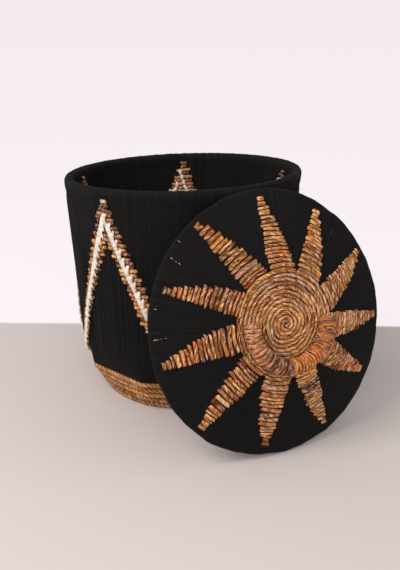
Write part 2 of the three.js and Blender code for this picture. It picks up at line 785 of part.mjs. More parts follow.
// Every piece by name, in the body that carries it
const group = new THREE.Group();
const basket = new THREE.Group();
const lid = new THREE.Group();
const handle = new THREE.Group();

function addPiece(parent, name, geometry, material) {
  const piece = new THREE.Mesh(geometry, material);
  piece.name = name;
  parent.add(piece);
  return piece;
}

// The basket's frame
const rimHoopInset = (YARN + LINING_OUTSIDE) / 2;
const hoopHeight = HOOP_TOP - RIM_HOOP_WIRE / 2;
const waistInset = YARN + 2 * GAP + WAIST_HOOP_WIRE / 2;
addPiece(basket, "rim_hoop", wallHoop(rimHoopInset, hoopHeight, RIM_HOOP_WIRE), steel);
addPiece(basket, "waist_hoop", wallHoop(waistInset, WAIST_HOOP_HEIGHT, WAIST_HOOP_WIRE), steel);
for (let i = 0; i < UPRIGHTS; i += 1) {
  const azimuth = (FIRST_UPRIGHT + (360 * i) / UPRIGHTS) * DEG;
  const across = new THREE.Vector3(Math.cos(azimuth), Math.sin(azimuth), 0);
  const upright = wire(uprightPath(azimuth), UPRIGHT_WIRE, WIRE_SIDES, false, across);
  addPiece(basket, `upright_${i + 1}`, upright, steel);
}

// The base and the coiled foot
const ringRadius = FOOT_LOW_RADIUS - FOOT_LINE - BASE_RING_WIRE / 2;
const ringPath = Array.from({ length: COIL_STEPS }, (_, i) => {
  const azimuth = (2 * Math.PI * i) / COIL_STEPS;
  return basketPoint(azimuth, ringRadius, BASE_RING_HEIGHT);
});
addPiece(basket, "base_ring", wire(ringPath, BASE_RING_WIRE, WIRE_SIDES, true), steel);
const discRadius = FOOT_LOW_RADIUS - FOOT_ROPE / 2 - GAP - COIL_SAG;
const base = turned([[0, 0], [discRadius, 0], [discRadius, BASE_THICKNESS], [0, BASE_THICKNESS]]);
addPiece(basket, "base_disc", base, footRope);
const footLine = footPath();
addPiece(basket, "foot_coil", wire(footLine, FOOT_ROPE, WIRE_SIDES, false), footRope);

// The wall
addPiece(basket, "rope_wall", ropeWall(), abaca);
addPiece(basket, "yarn_cover", yarnCover(), blackYarn);

// The peaks of the zigzag, outside and inside, and their stitch lines
APEX_AZIMUTHS.forEach((apex, i) => {
  const count = APEX_AZIMUTHS.length;
  const before = i === 0 ? APEX_AZIMUTHS[count - 1] + 360 : APEX_AZIMUTHS[i - 1];
  const after = i === count - 1 ? APEX_AZIMUTHS[0] - 360 : APEX_AZIMUTHS[i + 1];
  const reach = (neighbour) => (Math.abs(neighbour - apex) / 2) * DEG * wallRadius(LEG_FOOT) - GAP;
  const outline = steppedFace(peakRows(reach(after), reach(before)));
  const azimuth = apex * DEG;
  addPiece(
    basket,
    `outer_peak_${i + 1}`,
    onWall(outline, azimuth, FLOAT_LIFT, FLOAT_THICKNESS, true),
    abaca,
  );
  addPiece(
    basket,
    `inner_peak_${i + 1}`,
    onWall(outline, azimuth, LINING_LIFT, FLOAT_THICKNESS, false),
    abaca,
  );
  const line = stitchFace(reach(after), reach(before));
  const lift = FLOAT_LIFT + FLOAT_THICKNESS + STITCH_LIFT;
  addPiece(basket, `stitch_${i + 1}`, onWall(line, azimuth, lift, STITCH_THICKNESS, true), whiteYarn);
});

// The lid
const hoopPath = Array.from({ length: AROUND }, (_, i) => {
  const angle = (2 * Math.PI * i) / AROUND;
  const x = LID_HOOP_RADIUS * Math.cos(angle);
  const y = LID_HOOP_RADIUS * Math.sin(angle);
  return new THREE.Vector3(x, y, LID_TOP_CENTRE);
});
addPiece(lid, "lid_hoop", wire(hoopPath, LID_HOOP_WIRE, WIRE_SIDES, true), steel);
addPiece(lid, "lid_rope_disc", lidRopes(), abaca);
addPiece(lid, "lid_yarn_cover", lidYarn(), blackYarn);
const spiralLine = spiralPath();
addPiece(lid, "spiral_medallion", wire(spiralLine, SPIRAL_ROPE, WIRE_SIDES, false), abaca);
RAY_TIPS.forEach((tip, i) => addPiece(lid, `star_ray_${i + 1}`, starRay(tip), abaca));

// The handle and its lashings, on the hinge line across the spiral
handle.position.set(HANDLE_SIDE, HANDLE_OFFSET, HINGE_HEIGHT);
handle.rotation.z = HANDLE_TURN * DEG;
addPiece(handle, "handle_core", handleCore(), twine);
const twineLine = twinePath();
const widthAt = (step) => twineWidth(Math.floor(step / CURL_STEPS));
const twineWrap = swept(twineLine, widthAt, TWINE_THICKNESS, CURL_SIDES, false, twineSide);
addPiece(handle, "handle_wrap", twineWrap, twine);
const lashings = new THREE.Group();
lashings.position.copy(handle.position);
lashings.rotation.copy(handle.rotation);
const acrossHinge = new THREE.Vector3(0, 1, 0);
const lashingOf = (side) => wire(lashingPath(side), LASHING, WIRE_SIDES, false, acrossHinge);
addPiece(lashings, "left_lashing", lashingOf(-1), lashingTwine);
addPiece(lashings, "right_lashing", lashingOf(1), lashingTwine);
lid.add(handle, lashings);

// The lid's directions as it leans: across to the right, up its face, and out of its face
const face = new THREE.Vector3(
  Math.cos(LID_LEAN * DEG) * Math.sin(LID_TURN * DEG),
  -Math.cos(LID_LEAN * DEG) * Math.cos(LID_TURN * DEG),
  Math.sin(LID_LEAN * DEG),
);
const acrossLid = new THREE.Vector3(Math.cos(LID_TURN * DEG), Math.sin(LID_TURN * DEG), 0);
const upLid = new THREE.Vector3().crossVectors(face, acrossLid);

// The height of the lid's underside as its flat facets lie, level past the corner of its edge
function lidUnderside(radius) {
  const widest = Math.min(radius / Math.cos(Math.PI / AROUND), LID_EDGE_RADIUS);
  return lidTop(widest) - LID_LAYERS;
}

// How far the zigzag and its stitches stand out from the wall at a height
function proudAt(height) {
  const proud = FLOAT_LIFT + FLOAT_THICKNESS + STITCH_LIFT + STITCH_THICKNESS;
  return height < APEX_HEIGHT ? proud : 0;
}

// Clearance of the lid's edge from the wall, where the edge is lower than the rim's hoop
function edgeClearance(place) {
  const edges = [[LID_RADIUS, LID_TOP_CENTRE], [LID_EDGE_RADIUS, LID_EDGE_TOP - LID_LAYERS]];
  let clearance = Infinity;
  for (const [radius, height] of edges) {
    for (let i = 0; i < RIM_SAMPLES * AROUND; i += 1) {
      const angle = (2 * Math.PI * i) / (RIM_SAMPLES * AROUND);
      const point = place.clone().addScaledVector(face, height);
      point.addScaledVector(acrossLid, radius * Math.cos(angle));
      point.addScaledVector(upLid, radius * Math.sin(angle));
      if (point.z < HOOP_BOTTOM - RIM_HOOP_WIRE) {
        const wall = wallRadius(point.z) + proudAt(point.z);
        clearance = Math.min(clearance, Math.hypot(point.x, point.y) - wall);
      }
    }
  }
  return clearance;
}

// Where the leaning lid stands: its edge on the floor, its back against the rim or the wall
function leaningPlace() {
  const floor = (radius, height) => radius * upLid.z - height * face.z;
  const rise = Math.max(
    floor(LID_RADIUS, LID_TOP_CENTRE),
    floor(LID_EDGE_RADIUS, LID_EDGE_TOP - LID_LAYERS),
  );
  const backwards = new THREE.Vector3(-Math.sin(LID_TURN * DEG), Math.cos(LID_TURN * DEG), 0);
  const place = acrossLid.clone().multiplyScalar(LID_SIDE);
  place.addScaledVector(backwards, -RIM_RADIUS);
  place.z = rise + GAP;
  const rim = [];
  const corners = [
    [0, HOOP_BOTTOM - RIM_HOOP_WIRE],
    [0, HOOP_BOTTOM],
    [RIM_YARN, RIM_HEIGHT - RIM_ROUND],
    [WALL_THICKNESS / 2, RIM_HEIGHT],
  ];
  for (let i = 0; i < RIM_SAMPLES * AROUND; i += 1) {
    const azimuth = (2 * Math.PI * i) / (RIM_SAMPLES * AROUND);
    for (let j = 0; j < (corners.length - 1) * RIM_SAMPLES; j += 1) {
      const part = Math.floor(j / RIM_SAMPLES);
      const share = j / RIM_SAMPLES - part;
      const [inset, height] = corners[part].map((value, k) =>
        THREE.MathUtils.lerp(value, corners[part + 1][k], share),
      );
      rim.push(basketPoint(azimuth, wallRadius(height) - inset, height));
    }
  }
  for (let pass = 0; pass < 20; pass += 1) {
    let clearance = edgeClearance(place);
    for (const point of rim) {
      const from = point.clone().sub(place);
      const radius = Math.hypot(from.dot(acrossLid), from.dot(upLid));
      if (radius < LID_RADIUS) {
        clearance = Math.min(clearance, lidUnderside(radius) - from.dot(face));
      }
    }
    place.addScaledVector(backwards, (clearance - GAP) / Math.cos(LID_LEAN * DEG));
  }
  return place;
}
lid.matrixAutoUpdate = false;
lid.matrix.makeBasis(acrossLid, upLid, face);
lid.matrix.setPosition(leaningPlace());

group.add(basket, lid);

// What the source measures and prints
function report(name, path, thickness, apart) {
  console.log(`${name}: least gap to itself ${leastGap(path, thickness, apart).toFixed(2)} mm`);
}
report("foot coil", footLine, FOOT_ROPE, FOOT_STEPS - FOOT_JOG_STEPS);
report("spiral medallion", spiralLine, SPIRAL_ROPE, COIL_STEPS / 2);
const fineTurns = twineLine.slice(-FINE_TURNS * CURL_STEPS);
const wideTurns = twineLine.slice(0, WIDE_TURNS * CURL_STEPS);
report("handle wrap's fine turns", fineTurns, twineWidth(TWINE_TURNS), CURL_STEPS / 2 + 1);
report("handle wrap's wide turns", wideTurns, twineWidth(0), CURL_STEPS / 2 + 1);
const place = new THREE.Vector3().setFromMatrixPosition(lid.matrix);
console.log(`lid centre ${place.toArray().map((v) => v.toFixed(2)).join(", ")}`);

export default group;
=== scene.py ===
"""Dresses the lidded abaca basket: black yarn wall and lid, zigzag of rope with its white
stitching, coiled foot, sun of rope on the lid and its wrapped handle.

Lengths are in millimetres until a mesh is filled, which turns them into metres."""

import math

import bpy
import numpy as np
from mathutils import Matrix, Vector


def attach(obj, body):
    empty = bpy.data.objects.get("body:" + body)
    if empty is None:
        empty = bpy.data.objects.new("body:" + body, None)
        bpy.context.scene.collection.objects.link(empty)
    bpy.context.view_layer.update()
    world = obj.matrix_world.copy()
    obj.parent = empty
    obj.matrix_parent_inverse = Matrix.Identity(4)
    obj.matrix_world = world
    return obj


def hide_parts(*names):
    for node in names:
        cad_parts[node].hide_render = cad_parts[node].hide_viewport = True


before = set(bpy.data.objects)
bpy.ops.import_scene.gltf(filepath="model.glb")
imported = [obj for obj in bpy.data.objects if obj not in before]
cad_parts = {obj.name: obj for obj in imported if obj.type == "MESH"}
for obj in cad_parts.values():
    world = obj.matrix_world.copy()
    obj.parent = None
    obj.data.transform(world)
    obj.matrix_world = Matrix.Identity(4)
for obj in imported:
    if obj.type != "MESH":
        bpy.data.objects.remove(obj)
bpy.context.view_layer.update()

MM = 0.001
TURN = 2 * math.pi
UPWARDS = np.array((0.0, 0.0, 1.0))

# The wall, as in the part's source
RIM_RADIUS = 176.5
RIM_HEIGHT = 337.5
LOW_RADIUS = 158.0
LOW_HEIGHT = 92.0
WAIST_RADIUS = 152.0
WAIST_HEIGHT = 52.0
RIM_RISE_RIGHT = 7.2
RIM_RISE_FRONT = 7.6
WALL_THICKNESS = 13.3
FLOOR_RADIUS = 122.0
CORNERS = 9
FIRST_CORNER = -62.0
LINING_BOTTOM = 59.9
# The rolled rim: the height of its middle, and how far its top rises over that
ROLL_HEIGHT = 328.4
ROLL_RISE = 8.6
# Where on the wall the yarns part most often
PARTED_AZIMUTH = -33.0
PARTED_REACH = 26.0

# Yarn and rope
WALL_YARNS = 380
YARN_COLUMNS = 4
COURSE_PITCH = 5.9
FOOT_ROPE = 9.8
FOOT_COURSES = 5
# The foot's rope begins at the back, 17 thirds of a side on from the first corner
FOOT_SEAM = FIRST_CORNER + 17 * 40 / 3

# The zigzag
APEX_AZIMUTHS = (-36.0, -105.0, -179.0, -252.0, -321.0)
APEX_HEIGHT = 324.0
APEX_HALF_WIDTH = 3.0
LEFT_SLOPE = 2.7
RIGHT_SLOPE = 2.4
LEG_WIDTH = 25.0
LEG_FOOT = 57.0
STITCH_TOP = 303.0
# How much narrower two of the legs grow, and between which drops from the apex: the first
# peak's left leg on its inner side, and the second peak's right leg on its outer side
LEG_TRIM = 14.0
TRIM_START = 20.0
FIRST_TRIM_END = 240.0
SECOND_TRIM_END = 160.0

# The lid and its handle
LID_CENTRE = np.array((122.13, -192.75, 172.44))
LID_TURN = math.radians(27.86)
LID_LEAN = math.radians(15.68)
LID_DOME = 37.8
LID_CROWN = 2.6
LID_SHOULDER = 71.0
LID_EDGE_RADIUS = 175.5
LID_EDGE_TOP = 3.6
LID_THICKNESS = 8.6
# How far the lid's cone falls for each length outwards
LID_FALL = (LID_DOME - LID_CROWN - LID_EDGE_TOP) / (LID_EDGE_RADIUS - LID_SHOULDER)
SPIRAL_PITCH = 5.45
SPIRAL_START = 3.2
SPIRAL_TURNS = 12.15
RAY_ROWS = 18
RAY_SWIRL = 5.5
# One line for each ray of the star: the angle of its tip, how far out it ends, its width
# against the others', and how far its middle is moved across at the base and at the tip
RAYS = (
    (-4.0, 167.0, 0.93, -2.5, -4.5),
    (28.0, 167.0, 0.97, -4.5, -1.0),
    (58.0, 165.0, 1.06, -0.5, 3.0),
    (90.0, 168.0, 1.0, 1.5, 1.0),
    (124.0, 173.0, 1.04, 0.0, 0.7),
    (157.0, 167.5, 0.88, -2.0, -1.0),
    (190.0, 169.5, 1.0, -0.5, -1.0),
    (224.0, 171.0, 0.97, 0.5, -1.4),
    (258.0, 165.0, 1.1, 1.5, 0.0),
    (292.0, 165.0, 0.88, 4.0, 2.0),
    (325.0, 159.5, 1.02, 4.0, 3.0),
)
# The handle: the length of its hinge line and how far its arc goes from it, the hinge
# line's place and turn in the lid's frame, and the size of its tube and of its round ends
HANDLE_SPAN = 113.6
HANDLE_DROP = 51.5
HANDLE_SIDE = 0.8
HANDLE_OFFSET = -2.7
HANDLE_TURN = math.radians(-3.4)
HINGE_HEIGHT = 47.69
HANDLE_TUBE = 11.0
HANDLE_DOME = 11.5

# The photograph's camera, its place and the lamps' aim in metres
CAMERA_PLACE = (0.02693, -1.1740, 0.58154)
CAMERA_PITCH = math.radians(-20.02)
CAMERA_ROLL = math.radians(0.564)
CAMERA_LENS = 50.20
LAMP_AIM = (0.05, -0.1, 0.15)
# How far back the photograph's wall begins, in metres
WALL_LINE = 0.2

random = np.random.default_rng(71)


def colour(red, green, blue):
    """A colour given as it is seen, from 0 to 255, as the amounts of light it sends back."""
    seen = np.array((red, green, blue)) / 255.0
    light = np.where(seen <= 0.04045, seen / 12.92, ((seen + 0.055) / 1.055) ** 2.4)
    return np.append(light, 1.0)


GOLDEN = colour(216, 152, 76)
TAN = colour(194, 126, 66)
HONEY = colour(190, 108, 46)
RUSSET = colour(146, 72, 34)
BARK = colour(86, 44, 28)
ASH = colour(184, 138, 104)
CREAM = colour(226, 190, 150)
ROSY_TAN = colour(182, 120, 82)
MAUVE = colour(112, 54, 34)
ORANGE = colour(192, 104, 36)
SPIRAL_GREY = colour(158, 142, 132)
DULL_PATCH = colour(138, 86, 58)
# Colour of the painted highlights on the ropes' tops
PAINTED_HIGHLIGHT = colour(250, 222, 192)
DARK_FLECK = colour(60, 24, 8)
STEEL_GREY = colour(124, 124, 126)
BROWN_BLOOM = colour(92, 66, 50)
FLOOR_COLOUR = colour(212, 202, 199)
WALL_COLOUR = colour(244, 236, 239)
# Painted crease shade: what is left of each amount of light in a crease between ropes
CREASE_SHADE = np.array((0.2, 0.07, 0.02, 1.0))


# ---- Materials


class Nodes:
    """The node tree of a material or world, with short ways to add a node and join it."""

    def __init__(self, owner):
        owner.use_nodes = True
        self.owner = owner
        self.tree = owner.node_tree
        self.shader = self.tree.nodes.get("Principled BSDF")

    def feed(self, node, inputs):
        """Gives a node's inputs, by name or number, a value or another node's output."""
        for key, value in inputs.items():
            if isinstance(value, bpy.types.NodeSocket):
                self.tree.links.new(value, node.inputs[key])
            else:
                node.inputs[key].default_value = value

    def add(self, kind, inputs=None, output=0, **settings):
        """A new node with these settings and inputs, of which one output is given back."""
        node = self.tree.nodes.new(kind)
        for key, value in settings.items():
            setattr(node, key, value)
        self.feed(node, inputs or {})
        return node.outputs[output] if node.outputs else None

    def attribute(self, name, output):
        return self.add("ShaderNodeAttribute", output=output, attribute_name=name)

    def part(self, vector, axis):
        return self.add("ShaderNodeSeparateXYZ", {0: vector}, axis)

    def scaled(self, vector, scale):
        """A pattern's coordinates, each multiplied by its own number."""
        return self.add("ShaderNodeVectorMath", {0: vector, 1: scale}, operation="MULTIPLY")

    def noise(self, vector, scale, detail=2.0, roughness=0.5):
        inputs = {"Vector": vector, "Scale": scale, "Detail": detail, "Roughness": roughness}
        return self.add("ShaderNodeTexNoise", inputs, "Fac")

    def ranged(self, value, low, high, to_low, to_high):
        limits = {"From Min": low, "From Max": high, "To Min": to_low, "To Max": to_high}
        return self.add("ShaderNodeMapRange", {"Value": value, **limits})

    def sum(self, first, second, operation="ADD"):
        return self.add("ShaderNodeMath", {0: first, 1: second}, operation=operation)

    def product(self, first, second):
        return self.sum(first, second, "MULTIPLY")

    def shaded(self, base, factor):
        """A colour multiplied by one number."""
        return self.add("ShaderNodeVectorMath", {0: base, "Scale": factor}, operation="SCALE")

    def mixed(self, factor, first, second):
        """The first colour where the factor is 0 and the second where it is 1."""
        inputs = {"Factor": factor, "A": first, "B": second}
        return self.add("ShaderNodeMix", inputs, "Result", data_type="RGBA")

    def bump(self, height, distance):
        """Relief of a height of so many metres."""
        return self.add("ShaderNodeBump", {"Distance": distance, "Height": height})

    def finish(self, base, roughness, others):
        """Gives the material its colour, its roughness and its shader's other inputs."""
        self.feed(self.shader, {"Base Color": base, "Roughness": roughness, **others})
        return self.owner


def yarn_finish(name, base, sheen, ply, depth):
    """Spun cotton yarn: a plain dark or white colour that wavers a little from yarn to yarn
    and along each, multiplied by each point's shade, which on the wall's skin holds painted
    shade and a painted highlight, with the slanting lines of its plies in the bump and a soft
    fuzz."""
    nodes = Nodes(bpy.data.materials.new(name))
    place = nodes.attribute("yarn", "Vector")
    uneven = nodes.noise(nodes.scaled(place, (0.9, 0.05, 1.0)), 1.0)
    light = nodes.ranged(uneven, 0.3, 0.7, 0.75, 1.3)
    # The shade attribute multiplies the colour: on the wall's skin it holds painted shade and a
    # painted highlight as well as random tone.
    light = nodes.product(light, nodes.attribute("shade", "Fac"))
    plain = nodes.add("ShaderNodeRGB")
    plain.default_value = base
    nodes.feed(nodes.shader, {"Base Color": base})
    along = nodes.sum(nodes.part(place, 1), ply, "DIVIDE")
    slant = nodes.product(nodes.sum(nodes.part(place, 0), along), TURN)
    fuzz = nodes.noise(nodes.scaled(place, (3.0, 1.6, 1.0)), 2.0, 3.0)
    relief = nodes.sum(nodes.sum(slant, 0.0, "SINE"), nodes.product(fuzz, 1.5))
    others = {
        "Specular IOR Level": 0.18, "Sheen Weight": sheen, "Sheen Roughness": 0.45,
        "Sheen Tint": (0.9, 0.8, 0.8, 1.0), "Normal": nodes.bump(relief, depth),
    }
    return name, nodes.finish(nodes.shaded(plain, light), 0.85, others)


def rope_finish(name, streak, roughness, specular, depth, glint):
    """Abaca rope: each rope's own dye, which carries painted shade in its creases, streaked
    along its fibres, with duller patches, dark flecks and, on its top, painted highlights as
    pale glints, and the fibres raised in the bump. The fibres follow the lay."""
    nodes = Nodes(bpy.data.materials.new(name))
    lay = nodes.attribute("lay", "Vector")
    fibres = nodes.noise(nodes.scaled(lay, (0.7, 0.7, 0.11)), 1.0, 4.0, 0.62)
    patches = nodes.noise(nodes.scaled(lay, (0.2, 0.2, 0.1)), 1.0)
    flecks = nodes.noise(nodes.scaled(lay, (0.52, 0.52, 0.24)), 1.0)
    light = nodes.product(
        nodes.ranged(fibres, 0.34, 0.66, 1.0 - streak, 1.0 + streak),
        nodes.ranged(patches, 0.3, 0.7, 0.66, 1.3),
    )
    base = nodes.shaded(nodes.attribute("dye", "Color"), light)
    base = nodes.mixed(nodes.ranged(patches, 0.4, 0.28, 0.0, 0.3), base, DULL_PATCH)
    # Painted highlight: pale glints along the fibres, kept to the ropes' tops by the shade
    # attribute
    pale = nodes.ranged(fibres, 0.5, 0.64, 0.0, glint)
    pale = nodes.product(pale, nodes.attribute("shade", "Fac"))
    base = nodes.mixed(pale, base, PAINTED_HIGHLIGHT)
    base = nodes.mixed(nodes.ranged(flecks, 0.57, 0.67, 0.0, 0.8), base, DARK_FLECK)
    others = {"Specular IOR Level": specular, "Normal": nodes.bump(fibres, depth)}
    return name, nodes.finish(base, roughness, others)


def steel_finish():
    """Dull drawn wire: grey metal with faint lengthwise marks and brown bloom."""
    nodes = Nodes(bpy.data.materials.new("frame_wire"))
    place = nodes.add("ShaderNodeTexCoord", output="Object")
    marks = nodes.noise(nodes.scaled(place, (900.0, 900.0, 90.0)), 1.0, 3.0)
    bloom = nodes.ranged(nodes.noise(place, 60.0, 3.0), 0.45, 0.7, 0.0, 0.8)
    base = nodes.mixed(bloom, STEEL_GREY, BROWN_BLOOM)
    return nodes.finish(base, 0.5, {"Metallic": 0.85, "Normal": nodes.bump(marks, 0.0001)})


# A finish is a slot name and its material. Given of a yarn: its colour, sheen, the
# length of a ply's turn and the bump's depth. Given of a rope: how far its streaks go,
# roughness, specular level, the bump's depth and the strength of its painted highlights.
BLACK_YARN = yarn_finish("black_yarn", colour(14, 12, 12), 0.02, 3.4, 0.00012)
WHITE_YARN = yarn_finish("white_yarn", colour(238, 226, 212), 0.3, 2.6, 0.00025)
ABACA = rope_finish("abaca_rope", 0.5, 0.5, 0.1, 0.0008, 0.8)
FOOT = rope_finish("foot_rope", 0.62, 0.6, 0.12, 0.001, 0.6)
TWINE = rope_finish("handle_twine", 0.4, 0.5, 0.08, 0.0005, 0.5)
LASHING = rope_finish("lashing_twine", 0.4, 0.55, 0.35, 0.0003, 0.3)
STEEL = steel_finish()


# ---- Meshes


def in_scene(name, data):
    """A new object of the data, in the scene."""
    item = bpy.data.objects.new(name, data)
    bpy.context.scene.collection.objects.link(item)
    return item


def filled(name, points, polygons, attributes, finish, body, replaced):
    """A mesh object of points in millimetres and arrays of polygons, each array with one
    number of corners. Attributes are arrays with one row for each point."""
    slot, material = finish
    mesh = bpy.data.meshes.new(name)
    flat = points.astype(np.float32).reshape(-1, 3) * MM
    corners = np.concatenate([p.reshape(-1) for p in polygons]).astype(np.int32)
    sizes = np.concatenate([np.full(len(p), p.shape[1]) for p in polygons])
    starts = (np.cumsum(sizes) - sizes).astype(np.int32)
    mesh.vertices.add(len(flat))
    mesh.vertices.foreach_set("co", flat.reshape(-1))
    mesh.loops.add(len(corners))
    mesh.loops.foreach_set("vertex_index", corners)
    mesh.polygons.add(len(starts))
    mesh.polygons.foreach_set("loop_start", starts)
    mesh.polygons.foreach_set("use_smooth", np.ones(len(starts), dtype=bool))
    kinds = {1: ("FLOAT", "value"), 3: ("FLOAT_VECTOR", "vector"), 4: ("FLOAT_COLOR", "color")}
    for key, values in attributes.items():
        rows = values.astype(np.float32).reshape(len(flat), -1)
        kind, field = kinds[rows.shape[1]]
        layer = mesh.attributes.new(key, kind, "POINT")
        layer.data.foreach_set(field, rows.reshape(-1))
    mesh.update(calc_edges=True)
    mesh.validate()
    mesh.materials.append(material)
    piece = in_scene(name, mesh)
    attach(piece, body)
    if replaced:
        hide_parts(*replaced)


def xyz(x, y, z):
    """Points with these coordinates, each repeated to the shape of the others."""
    return np.stack(np.broadcast_arrays(x, y, z), axis=-1)


def unit(vectors):
    """Each vector divided by its length."""
    return vectors / np.linalg.norm(vectors, axis=-1, keepdims=True)


def columns(table):
    """The columns of a table of numbers, each as an array of one number to a row."""
    return (np.array(column, dtype=float)[:, None] for column in zip(*table))


def grid_faces(count, steps, sides, closed):
    """The four-sided faces of many tubes at once, each a grid of steps by sides whose sides
    close up; the steps close up too if the rope is a ring. Open tubes get two end faces."""
    last = steps if closed else steps - 1
    rope, step, side = np.meshgrid(
        np.arange(count), np.arange(last), np.arange(sides), indexing="ij"
    )
    after = (step + 1) % steps
    beside = (side + 1) % sides
    first = rope * steps * sides
    here, ahead = first + step * sides, first + after * sides
    corners = (here + side, here + beside, ahead + beside, ahead + side)
    faces = [np.stack(corners, axis=-1).reshape(-1, 4)]
    if not closed:
        ring = np.arange(sides)
        start = np.arange(count)[:, None] * steps * sides
        faces += [start + ring[::-1], start + (steps - 1) * sides + ring]
    return faces


def lengths_along(path):
    """Length from the start of each path to each of its points."""
    legs = np.linalg.norm(np.diff(path, axis=1), axis=-1)
    return np.concatenate([np.zeros((len(path), 1)), np.cumsum(legs, axis=1)], axis=1)


def directions(path, closed):
    """Unit direction of each path at each point, from the point before to the one after."""
    if closed:
        return unit(np.roll(path, -1, axis=1) - np.roll(path, 1, axis=1))
    return unit(np.gradient(path, axis=1))


def ropes(
    path, up, wide, high, sides, lay, groove, plies=2, closed=False, shown=None, cut=None,
    full=1.0,
):
    """Twisted ropes along many paths at once. A section's point at angle a lies at the
    path's point, plus its side direction times half its width times cos a, plus its up
    direction times half its height times sin a, where both the cosine and the sine are
    raised to the power called full, which flattens the sides when it is under 1. Both are
    multiplied by the lobe: 1 less the groove times 1 less the size of cos(plies (a - twist)
    / 2), where the twist is a whole turn in each lay of length. A cut slants the ends: a
    point moves along the rope by the cut times its place across. Gives the points, their
    coordinates in the twisted rope and how far each faces the shown direction, which is up
    unless another is given."""
    count, steps = path.shape[:2]
    along = directions(path, closed)
    side = unit(np.cross(np.broadcast_to(up, path.shape), along))
    up = np.cross(along, side)
    length = lengths_along(path)
    turn = random.uniform(0, TURN, (count, 1))
    if closed:
        whole = length[:, -1:] * steps / (steps - 1)
        lay = whole / np.maximum(1, np.round(whole / lay))
    angle = TURN * np.arange(sides) / sides
    turned = angle - (turn + TURN * length / lay)[:, :, None]
    lobe = 1 - groove * (1 - np.abs(np.cos(turned * plies / 2)))
    wide = np.broadcast_to(wide, (count, steps))[:, :, None] * lobe
    high = np.broadcast_to(high, (count, steps))[:, :, None] * lobe
    cosine, sine = np.cos(angle), np.sin(angle)
    beside = wide * np.sign(cosine) * np.abs(cosine) ** full
    above = high * np.sign(sine) * np.abs(sine) ** full
    points = path[:, :, None] + side[:, :, None] * beside[..., None]
    points = points + up[:, :, None] * above[..., None]
    if cut is not None:
        near_end = np.abs(2 * length / length[:, -1:] - 1) ** 5
        slanted = (cut * near_end)[:, :, None] * beside
        points = points + along[:, :, None] * slanted[..., None]
    shown = up if shown is None else shown
    faced = (side * shown).sum(-1)[:, :, None] * cosine
    faced = faced + (up * shown).sum(-1)[:, :, None] * sine - 3 * (1 - lobe)
    far = length + random.uniform(0, 900, (count, 1))
    return points, xyz(wide * np.cos(turned), high * np.sin(turned), far[:, :, None]), faced


def rope_piece(name, made, dye, finish, body, *replaced, closed=False, clear=0.1):
    """Many ropes as one piece; the dye is one colour for each rope or each of its steps.
    Painted shade darkens it on the sides that face a neighbour and in the groove of the lay, as
    far as they face the shown side by less than clear, and the painted highlights lie only on
    top."""
    points, place, faced = made
    count, steps, sides = points.shape[:3]
    # Painted crease shade: the dye darkens where a side faces away from the shown side; the
    # shade attribute, the square of the unshaded share, keeps the painted highlights on top.
    unshaded = smooth(faced, clear - 0.35, clear + 0.65)[..., None]
    dye = dye.reshape(count, -1, 1, 4) * (unshaded + (1 - unshaded) * CREASE_SHADE)
    attributes = {"dye": dye, "lay": place, "shade": unshaded[..., 0] ** 2}
    faces = grid_faces(count, steps, sides, closed)
    filled(name, points, faces, attributes, finish, body, replaced)


def dyed(count, palette, shares, spread=0.14):
    """One colour for each rope: a blend of two colours of the palette, drawn by their
    shares, made lighter or darker at random."""
    palette = np.array(palette)
    shares = np.array(shares) / np.sum(shares)
    first = palette[random.choice(len(palette), count, p=shares)]
    second = palette[random.choice(len(palette), count, p=shares)]
    blend = random.uniform(0, 0.5, (count, 1))
    made = first * (1 - blend) + second * blend
    made[:, :3] *= random.normal(1, spread, (count, 1)).clip(0.6, 1.4)
    return made


def dyed_along(path, reach, palette, shares):
    """A colour at each point of one long rope's path, blended between draws that lie one
    reach apart, so that the rope changes as its fibres do."""
    length = lengths_along(path)[0]
    draws = dyed(int(length.max() / reach) + 3, palette, shares, 0.1)
    at = length / reach
    low = np.floor(at).astype(int)
    blend = (at - low)[:, None]
    blend = blend * blend * (3 - 2 * blend)
    return draws[low] * (1 - blend) + draws[low + 1] * blend


def smooth(value, low, high):
    """0 below low, 1 above high, and an easy climb between them."""
    share = np.clip((value - low) / (high - low), 0, 1)
    return share * share * (3 - 2 * share)


def end_places(steps):
    """Places along a rope from -1 to 1, closer together towards both ends."""
    return np.sin(np.linspace(-0.5, 0.5, steps) * math.pi)[None, :]


# ---- The basket's own shape


def wall_radius(height):
    """Radius of the wall's outside: straight from the rim to the low line, then steeper."""
    above = (RIM_RADIUS - LOW_RADIUS) / (RIM_HEIGHT - LOW_HEIGHT)
    below = (LOW_RADIUS - WAIST_RADIUS) / (LOW_HEIGHT - WAIST_HEIGHT)
    slope = np.where(height > LOW_HEIGHT, above, below)
    return LOW_RADIUS + slope * (height - LOW_HEIGHT)


def flatness(azimuth, height):
    """How far the waist is drawn flat between the frame's wires: 1 at a wire, and between
    two the radius of a straight side over that of the round, by the pull at that height."""
    pull = np.clip(np.minimum((LOW_HEIGHT - height) / 40, height / WAIST_HEIGHT), 0, 1)
    half = math.pi / CORNERS
    off = (azimuth - math.radians(FIRST_CORNER)) % (2 * half) - half
    return 1 + pull * (math.cos(half) / np.cos(off) - 1)


def on_basket(azimuth, radius, height):
    """The point at an azimuth, radius and height; the hand-made rim stands a little higher
    at the right and the front, in step with the height."""
    r = radius * flatness(azimuth, height)
    x, y = r * np.sin(azimuth), -r * np.cos(azimuth)
    rise = (RIM_RISE_RIGHT * x - RIM_RISE_FRONT * y) / RIM_RADIUS
    return xyz(x, y, height + rise * height / RIM_HEIGHT)


